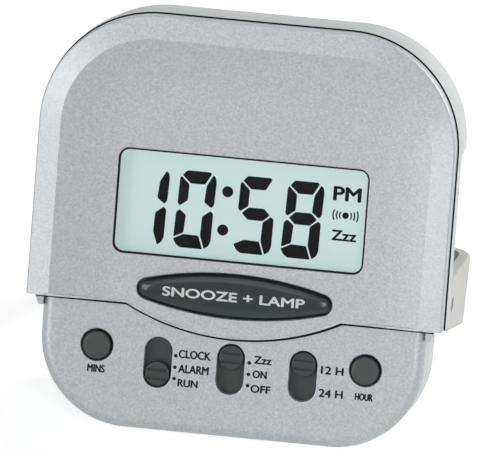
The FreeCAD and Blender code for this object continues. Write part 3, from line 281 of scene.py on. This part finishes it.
def make_materials():
    return {
        "silver": silver_lacquer(),
        "grey": plain_plastic("grey_plastic", (0.58, 0.575, 0.55), 0.45,
                              grain=4.0, shade=0.04, depth=0.015),
        # painted light: the buttons are a lighter copy of the knobs' dark plastic, standing in for the
        # light their domed tops catch
        "button": plain_plastic("dark_buttons", (0.052, 0.064, 0.061), 0.4,
                                grain=5.0, shade=0.12, depth=0.015),
        "keys": plain_plastic("dark_keys", (0.03, 0.042, 0.04), 0.38,
                              grain=5.0, shade=0.12, depth=0.015),
        "gloss": plain_plastic("dark_gloss", (0.008, 0.022, 0.021), 0.14, grain=0.6, shade=0.1,
                               depth=0.004, strength=0.05),
        "clear": new_material("clear_plate", (0.02, 0.03, 0.03), 0.04, Alpha=0.06),
        "white": plain_plastic("white_plastic", (0.75, 0.76, 0.74), 0.5),
        "guide": plain_plastic("light_guide", (0.8, 0.82, 0.78), 0.3),
        "lamp": plain_plastic("lamp", (0.85, 0.8, 0.45), 0.15),
        "rubber": plain_plastic("grey_rubber", (0.1, 0.1, 0.1), 0.8, grain=2.0),
        "board": plain_plastic("board_green", (0.03, 0.11, 0.05), 0.35, grain=1.5, shade=0.2),
        "resin": plain_plastic("black_resin", (0.012, 0.012, 0.012), 0.25, grain=1.0),
        "steel": plain_plastic("steel", (0.55, 0.55, 0.54), 0.3, grain=3.0, metallic=1.0),
        "brass": plain_plastic("brass", (0.7, 0.5, 0.2), 0.3, grain=3.0, metallic=1.0),
        "can": plain_plastic("battery_can", (0.1, 0.12, 0.16), 0.3, grain=1.0, metallic=0.6),
        # painted highlight: a pale strip on the shell's lower bevel standing in for the light it catches
        "bright": plain_plastic("painted_edge_highlight", (0.9, 0.91, 0.92), 0.3,
                                grain=2.0, shade=0.05, metallic=0.2),
        "rear": plain_plastic("rear_plastic", (0.62, 0.65, 0.64), 0.45,
                              grain=1.6, shade=0.12, depth=0.02),
        # painted shade: this dark colour stands for the shade that falls in the gaps along the seams
        "joint": plain_plastic("painted_shadow_line", (0.01, 0.014, 0.015), 0.6, grain=2.0, shade=0.2,
                                Specular_IOR_Level=0.15),
        "ink": plain_plastic("black_ink", (0.012, 0.016, 0.016), 0.5, grain=6.0, depth=0.004,
                              Specular_IOR_Level=0.15),
        "segment": plain_plastic("display_black", (0.006, 0.007, 0.007), 0.55, grain=6.0, depth=0.002,
                                  Specular_IOR_Level=0.1),
        "white_ink": plain_plastic("white_ink", (0.85, 0.87, 0.86), 0.5, grain=6.0, depth=0.004),
        "mint": display_mint(),
    }


CAD_FINISH = {
    "silver": ["upper_shell", "control_panel"],
    "grey": ["stand"],
    "rear": ["rear_case", "battery_door"],
    "button": ["minute_button", "hour_button"],
    "keys": ["mode_knob", "alarm_knob", "format_knob"],
    "gloss": ["snooze_bar"],
    "clear": ["display_window"],
    "mint": ["lcd_panel"],
    "white": ["board_parts", "lcd_frame"],
    "guide": ["light_guide"],
    "lamp": ["light_lamp"],
    "rubber": ["lcd_connector", "snooze_rubber", "minute_rubber", "hour_rubber"],
    "board": ["main_board"],
    "resin": ["clock_chip"],
    "steel": ["stand_pin_left", "stand_pin_right", "battery_plate", "battery_spring", "quartz_crystal",
              "buzzer_contacts", "case_screws", "board_screws"],
    "brass": ["mode_wiper", "alarm_wiper", "format_wiper", "buzzer_disc"],
    "can": ["battery_cell"],
}


def dress_nodes(finishes):
    for finish, names in CAD_FINISH.items():
        for name in names:
            mesh = frame["nodes"][name].data
            mesh.materials.clear()
            mesh.materials.append(finishes[finish])


# Pieces made here
def add_piece(name, mesh, finish, body="case"):
    place(mesh)
    piece = bpy.data.objects.new(name, mesh)
    bpy.context.scene.collection.objects.link(piece)
    mesh.materials.clear()
    mesh.materials.append(finish)
    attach(piece, body)
    return piece


def finished(made, name):
    """The mesh of what was made, with its faces turned outwards."""
    bmesh.ops.recalc_face_normals(made, faces=made.faces)
    mesh = bpy.data.meshes.new(name)
    made.to_mesh(mesh)
    made.free()
    return mesh


def slab(outlines, front, back):
    """A mesh of flat plates: each outline is a list of (x, z) points."""
    made = bmesh.new()
    for outline in outlines:
        ends = []
        for depth in (front, back):
            ends.append([made.verts.new((x, depth, z)) for x, z in outline])
        made.faces.new(ends[0])
        made.faces.new(reversed(ends[1]))
        count = len(outline)
        for index in range(count):
            following = (index + 1) % count
            made.faces.new((ends[0][following], ends[0][index], ends[1][index], ends[1][following]))
    return finished(made, "slab")


def disc(x, z, radius, count=40):
    turns = [2 * math.pi * i / count for i in range(count)]
    return [(x + radius * math.cos(angle), z + radius * math.sin(angle)) for angle in turns]


# A rounded corner takes up to this share of each side beside it
CORNER_SHARE = 0.4


def eased(outline, radius=0.22, steps=3):
    """The outline with its corners slightly rounded."""
    points = [Vector(p) for p in outline]
    count = len(points)
    out = []
    for index, here in enumerate(points):
        before = points[index - 1]
        after = points[(index + 1) % count]
        reach = min(radius, (before - here).length * CORNER_SHARE, (after - here).length * CORNER_SHARE)
        start = here + (before - here).normalized() * reach
        end = here + (after - here).normalized() * reach
        for step in range(steps + 1):
            t = step / steps
            out.append(tuple(start.lerp(here, t).lerp(here.lerp(end, t), t)))
    return out


# Display: seven slanted segments with narrow splits between them
SEGMENTS = {
    "a": [(1.05, 13.8), (1.9, 14.75), (6.25, 14.75), (6.6, 14.45), (5.45, 12.35), (2.7, 12.3)],
    "b": [(6.9, 14.25), (7.4, 13.8), (7.6, 12.9), (7.4, 8.6), (6.9, 7.95), (5.5, 9.0), (5.75, 12.1)],
    "c": [(6.8, 7.4), (7.35, 6.9), (7.25, 1.7), (6.9, 0.75), (6.05, 0.1), (5.15, 2.6), (5.3, 6.2)],
    "d": [(0.05, 1.6), (0.7, 0.5), (1.5, 0.0), (5.75, 0.0), (4.85, 2.5), (2.0, 2.6)],
    "e": [(0.9, 7.25), (0.3, 6.6), (0.1, 1.95), (1.95, 2.85), (2.2, 6.25)],
    "f": [(0.85, 13.6), (0.6, 13.2), (0.45, 8.4), (0.9, 7.95), (2.35, 9.05), (2.45, 12.1)],
    "g": [(1.2, 7.65), (2.45, 8.8), (5.4, 8.8), (6.55, 7.65), (5.3, 6.45), (2.4, 6.45)],
}
DIGITS = {"0": "abcdef", "1": "bc", "5": "acdfg", "8": "abcdefg"}

# Digits shown: name, digit and where its left edge lies
DIGIT_PLACES = (
    ("hour_tens", "1", -21.9),
    ("hour_units", "0", -12.95),
    ("minute_tens", "5", -1.4),
    ("minute_units", "8", 7.6),
)
DIGIT_FOOT = 35.3
COLON = ((-3.15, 46.7), (-3.55, 39.35))
COLON_RADIUS = 1.05
INK_FRONT = GLASS - 0.06


def add_display_mark(name, mesh, finishes):
    add_piece(name, mesh, finishes["segment"])


def make_digits(finishes):
    for name, digit, left in DIGIT_PLACES:
        parts = [eased(SEGMENTS[part]) for part in DIGITS[digit]]
        outlines = [[(x + left, z + DIGIT_FOOT) for x, z in part] for part in parts]
        add_display_mark("lcd_" + name, slab(outlines, INK_FRONT, GLASS), finishes)
    dots = [disc(x, z, COLON_RADIUS) for x, z in COLON]
    add_display_mark("lcd_colon", slab(dots, INK_FRONT, GLASS), finishes)


# Ringing mark: a dot between arcs, each with its radius and half its height
ALARM_MARK = (19.5, 44.3)
ALARM_DOT = 0.62
ALARM_ARCS = ((1.25, 0.7), (1.85, 0.85), (2.5, 1.05))
ARC_WIDTH = 0.26


def arc_band(x, z, radius, half_height, width, side):
    """A narrow upright arc beside a dot."""
    sweep = math.asin(half_height / radius)
    steps = 8
    bands = []
    for reach in (radius, radius - width):
        band = []
        for step in range(steps + 1):
            angle = -sweep + 2 * sweep * step / steps
            band.append((x + side * reach * math.cos(angle), z + reach * math.sin(angle)))
        bands.append(band)
    outer, inner = bands
    return outer + inner[::-1]


def make_alarm_mark(finishes):
    x, z = ALARM_MARK
    outlines = [disc(x, z, ALARM_DOT)]
    for radius, half_height in ALARM_ARCS:
        for side in (-1, 1):
            outlines.append(arc_band(x, z, radius, half_height, ARC_WIDTH, side))
    add_display_mark("lcd_alarm_mark", slab(outlines, INK_FRONT, GLASS), finishes)


# Lettering: the copies that make it bold lie a little in front of each other
FONT_STEPS = 5
FONT_DEPTH = 0.5
LAYER = 0.0015
BOLD_MOVES = ((0, 0), (-1, 0), (1, 0), (0, -0.7), (0, 0.7))


def text_mesh(words, left, right, low, high, front, thickness=0.04, bold=0.0):
    """Lettering in the built-in font, fitted into a box; copies moved aside make its strokes bold."""
    curve = bpy.data.curves.new("words", "FONT")
    curve.body = words
    curve.resolution_u = FONT_STEPS
    curve.extrude = FONT_DEPTH
    carrier = bpy.data.objects.new("words", curve)
    bpy.context.scene.collection.objects.link(carrier)
    bpy.context.view_layer.update()
    evaluated = carrier.evaluated_get(bpy.context.evaluated_depsgraph_get())
    mesh = bpy.data.meshes.new_from_object(evaluated)
    bpy.data.objects.remove(carrier)
    bpy.data.curves.remove(curve)
    xs = [v.co.x for v in mesh.vertices]
    ys = [v.co.y for v in mesh.vertices]
    zs = [v.co.z for v in mesh.vertices]
    for vertex in mesh.vertices:
        x = left + (vertex.co.x - min(xs)) / (max(xs) - min(xs)) * (right - left)
        share = (vertex.co.y - min(ys)) / (max(ys) - min(ys))
        depth = (vertex.co.z - min(zs)) / (max(zs) - min(zs))
        z = low + share * (high - low)
        vertex.co = (x, front + thickness * (1 - depth), z)
    if bold:
        copies = bmesh.new()
        for index, (aside, above) in enumerate(BOLD_MOVES):
            copies.from_mesh(mesh)
            copies.verts.ensure_lookup_table()
            for vertex in copies.verts[-len(mesh.vertices):]:
                vertex.co += Vector((aside * bold, index * LAYER, above * bold))
        copies.to_mesh(mesh)
        copies.free()
    return mesh


# Words on the display: name, words, left, right, low, high and how bold
DISPLAY_WORDS = (
    ("lcd_afternoon_mark", "PM", 17.0, 22.1, 47.1, 49.65, 0.14),
    ("lcd_nap_mark", "Zzz", 17.2, 21.8, 39.5, 41.4, 0.1),
)


def make_display_words(finishes):
    for name, words, left, right, low, high, bold in DISPLAY_WORDS:
        mesh = text_mesh(words, left, right, low, high, INK_FRONT, GLASS - INK_FRONT, bold)
        add_display_mark(name, mesh, finishes)


# Lettering beside the switches and buttons: name, words, left, right, low and high
LEGENDS = [
    ("legend_minutes", "MINS", -27.1, -23.9, 10.2, 11.6),
    ("legend_hours", "HOUR", 24.1, 27.4, 9.7, 11.0),
    ("legend_time", "CLOCK", -9.9, -3.9, 14.45, 15.95),
    ("legend_alarm", "ALARM", -9.8, -4.1, 11.65, 13.15),
    ("legend_run", "RUN", -9.7, -6.0, 8.95, 10.35),
    ("legend_nap", "Zzz", 4.5, 7.7, 14.75, 16.15),
    ("legend_on", "ON", 4.4, 7.0, 12.0, 13.4),
    ("legend_off", "OFF", 4.2, 7.9, 9.2, 10.6),
    ("legend_twelve", "12 H", 17.3, 21.5, 14.05, 15.5),
    ("legend_twentyfour", "24 H", 17.2, 21.7, 9.65, 11.1),
]
LEGEND_BOLD = 0.085
LEGEND_RISE = 0.02
LEGEND_DOTS = (("legend_dots_left", -10.5), ("legend_dots_middle", 3.55))
DOT_HEIGHTS = (14.75, 12.55, 10.4)
DOT_RADIUS = 0.36
DOT_SIDES = 20


def make_legends(finishes):
    front = PANEL - LEGEND_RISE
    for name, words, left, right, low, high in LEGENDS:
        mesh = text_mesh(words, left, right, low, high, front, bold=LEGEND_BOLD)
        add_piece(name, mesh, finishes["ink"])
    for name, x in LEGEND_DOTS:
        dots = [disc(x, z, DOT_RADIUS, DOT_SIDES) for z in DOT_HEIGHTS]
        add_piece(name, slab(dots, front, PANEL), finishes["ink"])


# Snooze bar: a crowned, polished cap over its flange and stems
BAR_HEIGHT = 27.3
CAP_HALF = 18.1
CAP_RISE = 3.75
CAP_TIP = 1.5
CAP_SWEEP = ((CAP_HALF - CAP_TIP) ** 2 / (CAP_RISE - CAP_TIP) + CAP_RISE + CAP_TIP) / 2
CAP_EDGE = 0.95
CAP_CROWN = 1.05
CAP_COLUMNS = 96
CAP_ROWS = 32
CAP_REACH = 0.9999
FLANGE = (3.0, 3.8)
FLANGE_RIM = 0.6
FLANGE_STEPS = 40
STEM_OFFSET = 9
STEM_RADIUS = 1.5
STEM_END = 7.0
CROWN_END_POWER = 6
CROWN_EDGE_POWER = 2.6
LEAST_HALF = 1e-6

# Words on the bar: words, left, right, low and high
BAR_WORDS = ("SNOOZE + LAMP", -13.5, 13.5, 26.5, 28.2)
WORDS_RISE = 0.03
WORDS_DEPTH = 0.05
WORDS_BOLD = 0.1


def cap_half_height(x):
    """Half the cap's height at a distance from its middle."""
    touch = (CAP_HALF - CAP_TIP) * CAP_SWEEP / (CAP_SWEEP - CAP_TIP)
    x = abs(x)
    if x < touch:
        return math.sqrt(CAP_SWEEP ** 2 - x ** 2) - (CAP_SWEEP - CAP_RISE)
    return math.sqrt(max(CAP_TIP ** 2 - (x - CAP_HALF + CAP_TIP) ** 2, 0))


def cap_front(x, z):
    """Depth of the crowned front at a place, z from the cap's middle."""
    half = max(cap_half_height(x), LEAST_HALF)
    across = min(abs(z) / half, 1)
    along = min(abs(x) / CAP_HALF, 1)
    crown = CAP_CROWN * (1 - along ** CROWN_END_POWER) ** 0.5
    return CAP_EDGE - crown * (1 - across ** CROWN_EDGE_POWER) ** 0.5


def make_snooze_cap(finishes):
    made = bmesh.new()
    grid = []
    for i in range(CAP_COLUMNS + 1):
        x = -CAP_HALF * math.cos(math.pi * i / CAP_COLUMNS) * CAP_REACH
        half = cap_half_height(x)
        line = []
        for j in range(CAP_ROWS + 1):
            z = -half * math.cos(math.pi * j / CAP_ROWS)
            line.append(made.verts.new((x, cap_front(x, z), z + BAR_HEIGHT)))
        grid.append(line)
    for i in range(CAP_COLUMNS):
        for j in range(CAP_ROWS):
            made.faces.new((grid[i][j], grid[i + 1][j], grid[i + 1][j + 1], grid[i][j + 1]))
    # the side wall goes back to the flange
    rim = [line[0] for line in grid] + grid[-1][1:]
    rim += [line[-1] for line in grid[-2::-1]] + grid[0][-2:0:-1]
    lower = [made.verts.new((v.co.x, FLANGE[0], v.co.z)) for v in rim]
    for i in range(len(rim)):
        following = (i + 1) % len(rim)
        made.faces.new((rim[following], rim[i], lower[i], lower[following]))
    made.faces.new(lower)
    cap = finished(made, "snooze_cap")
    for face in cap.polygons:
        face.use_smooth = True
    piece = add_piece("snooze_cap", cap, finishes["gloss"], "snooze")
    # flange and stems behind the shell
    plate = []
    flange_half = CAP_HALF + FLANGE_RIM
    for sign in (-1, 1):
        for i in range(FLANGE_STEPS):
            angle = math.pi * i / FLANGE_STEPS
            x = sign * flange_half * math.cos(angle)
            z = -sign * (cap_half_height(x * CAP_HALF / flange_half) + FLANGE_RIM * math.sin(angle))
            plate.append((x, z + BAR_HEIGHT))
    add_piece("snooze_flange", slab([plate], *FLANGE), finishes["gloss"], "snooze")
    rounds = [disc(x, BAR_HEIGHT, STEM_RADIUS) for x in (STEM_OFFSET, -STEM_OFFSET)]
    stems = slab(rounds, FLANGE[1], STEM_END)
    add_piece("snooze_stems", stems, finishes["gloss"], "snooze")
    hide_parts("snooze_bar")
    words = text_mesh(*BAR_WORDS, 0, WORDS_DEPTH, WORDS_BOLD)
    for vertex in words.vertices:
        x, y, z = vertex.co
        vertex.co.y = cap_front(x, z - BAR_HEIGHT) - WORDS_RISE + y
    words.update()
    add_piece("snooze_words", words, finishes["white_ink"], "snooze")


# Outlines that the painted shadow lines and the painted edge highlight follow
def arch(half, top, radius, low, steps=24):
    """The case's arched outline from its lower right corner over the top to its lower left."""
    points = [(half, low)]
    for sign in (1, -1):
        for step in range(steps + 1):
            angle = math.pi / 2 * (step / steps if sign > 0 else 1 - step / steps)
            x = sign * (half - radius + radius * math.cos(angle))
            points.append((x, top - radius + radius * math.sin(angle)))
    points.append((-half, low))
    return points


def dipped_line(offset, half, steps=32):
    """The front shell's lower edge moved down by an offset, from left to right."""
    radius = DIP_RADIUS + offset
    centre = SHELL_BOTTOM - DIP_DROP + DIP_RADIUS
    level = SHELL_BOTTOM - offset
    reach = math.sqrt(radius ** 2 - (centre - level) ** 2)
    turns = [x for x in (half, CREASE_HALF, DISH_HALF) if x <= half]
    points = [(-x, level) for x in turns]
    for step in range(steps + 1):
        x = reach * (2 * step / steps - 1)
        points.append((x, centre - math.sqrt(radius ** 2 - x ** 2)))
    points += [(x, level) for x in turns[::-1]]
    return points


def face_depth(x):
    """Depth of the front shell's face at its lower edge: border, sloping rim, then the flat dish."""
    x = abs(x)
    if x > CREASE_HALF:
        return BORDER_DROP * (x - CREASE_HALF) / (SHELL_HALF - CREASE_HALF)
    if x > DISH_HALF:
        return FACE * (CREASE_HALF - x) / (CREASE_HALF - DISH_HALF)
    return FACE


def rounded_box(left, right, low, high, radius, steps=8):
    left, right = left + radius, right - radius
    low, high = low + radius, high - radius
    centres = ((right, high), (left, high), (left, low), (right, low))
    points = []
    for quarter, (x, z) in enumerate(centres):
        for step in range(steps + 1):
            angle = math.pi / 2 * (quarter + step / steps)
            points.append((x + radius * math.cos(angle), z + radius * math.sin(angle)))
    return points


def ring(outer, inner, front, back):
    """A mesh between two closed outlines with the same number of points."""
    made = bmesh.new()
    loops = []
    for outline, depth in ((outer, front), (inner, front), (inner, back), (outer, back)):
        loops.append([made.verts.new((x, depth, z)) for x, z in outline])
    count = len(outer)
    for index, here in enumerate(loops):
        there = loops[(index + 1) % len(loops)]
        for i in range(count):
            following = (i + 1) % count
            made.faces.new((here[i], here[following], there[following], there[i]))
    return finished(made, "ring")


# Painted edge highlight: how far it stands out of the bevel and how far it stops short of the bevel's
# ends
EDGE_PROUD = 0.03
EDGE_TRIM = 0.02


def edge_line():
    """A painted highlight: a pale strip on the bevel along the front shell's lower edge, standing in for
    the light that the bevel catches.
    """
    made = bmesh.new()
    half = SHELL_HALF - EDGE_BEVEL
    section = (
        (EDGE_TRIM, EDGE_BEVEL),
        (EDGE_BEVEL - EDGE_TRIM, 0.0),
        (EDGE_BEVEL, EDGE_PROUD * 2),
        (EDGE_PROUD * 2, EDGE_BEVEL),
    )
    rows = []
    for rise, depth in section:
        line = dipped_line(EDGE_PROUD - rise, half)
        rows.append([made.verts.new((x, face_depth(x) + depth - EDGE_PROUD, z)) for x, z in line])
    count = len(rows[0])
    for index, here in enumerate(rows):
        there = rows[(index + 1) % len(rows)]
        for i in range(count - 1):
            made.faces.new((here[i], here[i + 1], there[i + 1], there[i]))
    made.faces.new([row[0] for row in rows])
    made.faces.new([row[-1] for row in rows[::-1]])
    return finished(made, "edge_line")


# Painted shadow lines: dark strips that stand for the shade in gaps between parts. Distances from the
# edges that they follow, depths from the surfaces that they lie on
SEAM_INSIDE = -0.5
SEAM_OUTSIDE = 0.27
SEAM_DEPTHS = (0.01, 0.14)
JOINT_LOW = 0.62
JOINT_HIGH = -0.9
JOINT_INSET = 0.2
JOINT_HALF_THICK = 0.02
WINDOW_SHADE_LOW = 0.36
WINDOW_SHADE_HIGH = 0.24
WINDOW_SHADE_DEPTHS = (0.08, 0.29)


def make_shadow_lines(finishes):
    """Painted shade: dark strips in the seam round the front shell, under its lower edge and round the
    window, standing in for the shade in these gaps; the window's is wider at its left and lower sides.
    Also the painted highlight on the bevel.
    """
    inside, outside = [arch(SHELL_HALF + grown, SHELL_TOP + grown, SHELL_CORNER + grown, SHELL_BOTTOM)
                       for grown in (SEAM_INSIDE, SEAM_OUTSIDE)]
    seam = slab([outside + inside[::-1]], *[SHELL_DEPTH + depth for depth in SEAM_DEPTHS])
    add_piece("seam_shadow", seam, finishes["joint"])
    lower, upper = [dipped_line(offset, PANEL_HALF - JOINT_INSET) for offset in (JOINT_LOW, JOINT_HIGH)]
    strip = slab([lower + upper[::-1]], PANEL - JOINT_HALF_THICK, PANEL + JOINT_HALF_THICK)
    add_piece("panel_joint_shadow", strip, finishes["joint"])
    add_piece("edge_line", edge_line(), finishes["bright"])
    left, right = WINDOW_LOW[0] + WINDOW_LIP, WINDOW_HIGH[0] - WINDOW_LIP
    low, high = WINDOW_LOW[2] + WINDOW_LIP, WINDOW_HIGH[2] - WINDOW_LIP
    outer = rounded_box(left, right, low, high, WINDOW_CORNER)
    inner = rounded_box(left + WINDOW_SHADE_LOW, right - WINDOW_SHADE_HIGH, low + WINDOW_SHADE_LOW, high - WINDOW_SHADE_HIGH,
                        WINDOW_CORNER - (WINDOW_SHADE_LOW + WINDOW_SHADE_HIGH) / 2)
    window_shade = ring(outer, inner, *[FACE + depth for depth in WINDOW_SHADE_DEPTHS])
    add_piece("window_edge_shadow", window_shade, finishes["joint"])


# Floor, background and lights
FLOOR_HALF = 6.0
FLOOR_COLOUR = (0.86, 0.86, 0.86)
FLOOR_DARK = (0.85, 0.85, 0.85)
FLOOR_LIGHT = (0.88, 0.88, 0.88)
FLOOR_CLOUDS = 0.01
FLOOR_LIFT = 0.62
BACKGROUND = 1.0
ROOM_LIGHT = 0.1
ROOM_COLOUR = (0.93, 0.96, 1, 1)
AIM = Vector((0, 0, 0.035))

# Lamps: name, place, width and height, power
LAMPS = (
    ("left_front", (-0.7, -0.8, 0.5), (0.5, 0.5), 3.1),
    ("top", (-0.1, 0.0, 1.0), (0.9, 0.5), 0.8),
    ("top_front", (-0.1, -0.6, 1.0), (0.8, 0.4), 0.95),
    ("near_front", (0.09, -0.16, 0.10), (0.06, 0.06), 0.05),
    ("right_back", (0.7, 0.5, 0.35), (0.4, 0.6), 5.4),
)


def background_rays(tree):
    """1 for rays from the camera, from gloss and through clear pieces, which see the pale background."""
    path = tree.nodes.new("ShaderNodeLightPath")
    seen = path.outputs["Is Camera Ray"]
    for kind in ("Is Glossy Ray", "Is Transmission Ray"):
        either = tree.nodes.new("ShaderNodeMath")
        either.operation = "MAXIMUM"
        tree.links.new(seen, either.inputs[0])
        tree.links.new(path.outputs[kind], either.inputs[1])
        seen = either.outputs[0]
    return seen


def make_stage():
    mesh = bpy.data.meshes.new("floor")
    corners = [(x * FLOOR_HALF, y * FLOOR_HALF, 0) for x, y in ((-1, -1), (1, -1), (1, 1), (-1, 1))]
    mesh.from_pydata(corners, [], [(0, 1, 2, 3)])
    floor = bpy.data.objects.new("floor", mesh)
    bpy.context.scene.collection.objects.link(floor)
    material = new_material("floor", FLOOR_COLOUR, 0.9)
    where = millimetres(material)
    cloud = noise(material, where, FLOOR_CLOUDS, 2.0)
    vary_colour(material, cloud, FLOOR_DARK, FLOOR_LIGHT)
    # the camera and gloss see the floor nearly white, with the object's shadow still on it
    glow = node(material, "ShaderNodeEmission")
    seen = node(material, "ShaderNodeMath", operation="MULTIPLY")
    seen.inputs[1].default_value = FLOOR_LIFT
    join(material, background_rays(material.node_tree), seen.inputs[0])
    join(material, seen.outputs[0], glow.inputs["Strength"])
    total = node(material, "ShaderNodeAddShader")
    join(material, shader_of(material).outputs[0], total.inputs[0])
    join(material, glow.outputs[0], total.inputs[1])
    join(material, total.outputs[0], material.node_tree.nodes["Material Output"].inputs["Surface"])
    mesh.materials.append(material)


def make_world():
    world = bpy.data.worlds.new("studio")
    world.use_nodes = True
    tree = world.node_tree
    tree.nodes.clear()
    output = tree.nodes.new("ShaderNodeOutputWorld")
    seen = tree.nodes.new("ShaderNodeBackground")
    seen.inputs["Color"].default_value = (1, 1, 1, 1)
    seen.inputs["Strength"].default_value = BACKGROUND
    lit = tree.nodes.new("ShaderNodeBackground")
    lit.inputs["Color"].default_value = ROOM_COLOUR
    lit.inputs["Strength"].default_value = ROOM_LIGHT
    mix = tree.nodes.new("ShaderNodeMixShader")
    tree.links.new(background_rays(tree), mix.inputs["Fac"])
    tree.links.new(lit.outputs[0], mix.inputs[1])
    tree.links.new(seen.outputs[0], mix.inputs[2])
    tree.links.new(mix.outputs[0], output.inputs["Surface"])
    bpy.context.scene.world = world


def add_lamp(name, spot, size, power):
    data = bpy.data.lights.new(name, "AREA")
    data.shape = "RECTANGLE"
    data.size, data.size_y = size
    data.energy = power
    lamp = bpy.data.objects.new(name, data)
    lamp.location = Vector(spot)
    lamp.rotation_mode = "QUATERNION"
    lamp.rotation_quaternion = (AIM - Vector(spot)).to_track_quat("-Z", "Y")
    bpy.context.scene.collection.objects.link(lamp)


make_camera()
finishes = make_materials()
dress_nodes(finishes)
make_digits(finishes)
make_alarm_mark(finishes)
make_display_words(finishes)
make_legends(finishes)
make_snooze_cap(finishes)
make_shadow_lines(finishes)
make_stage()
make_world()
for lamp in LAMPS:
    add_lamp(*lamp)
bpy.context.scene.view_settings.view_transform = "Standard"
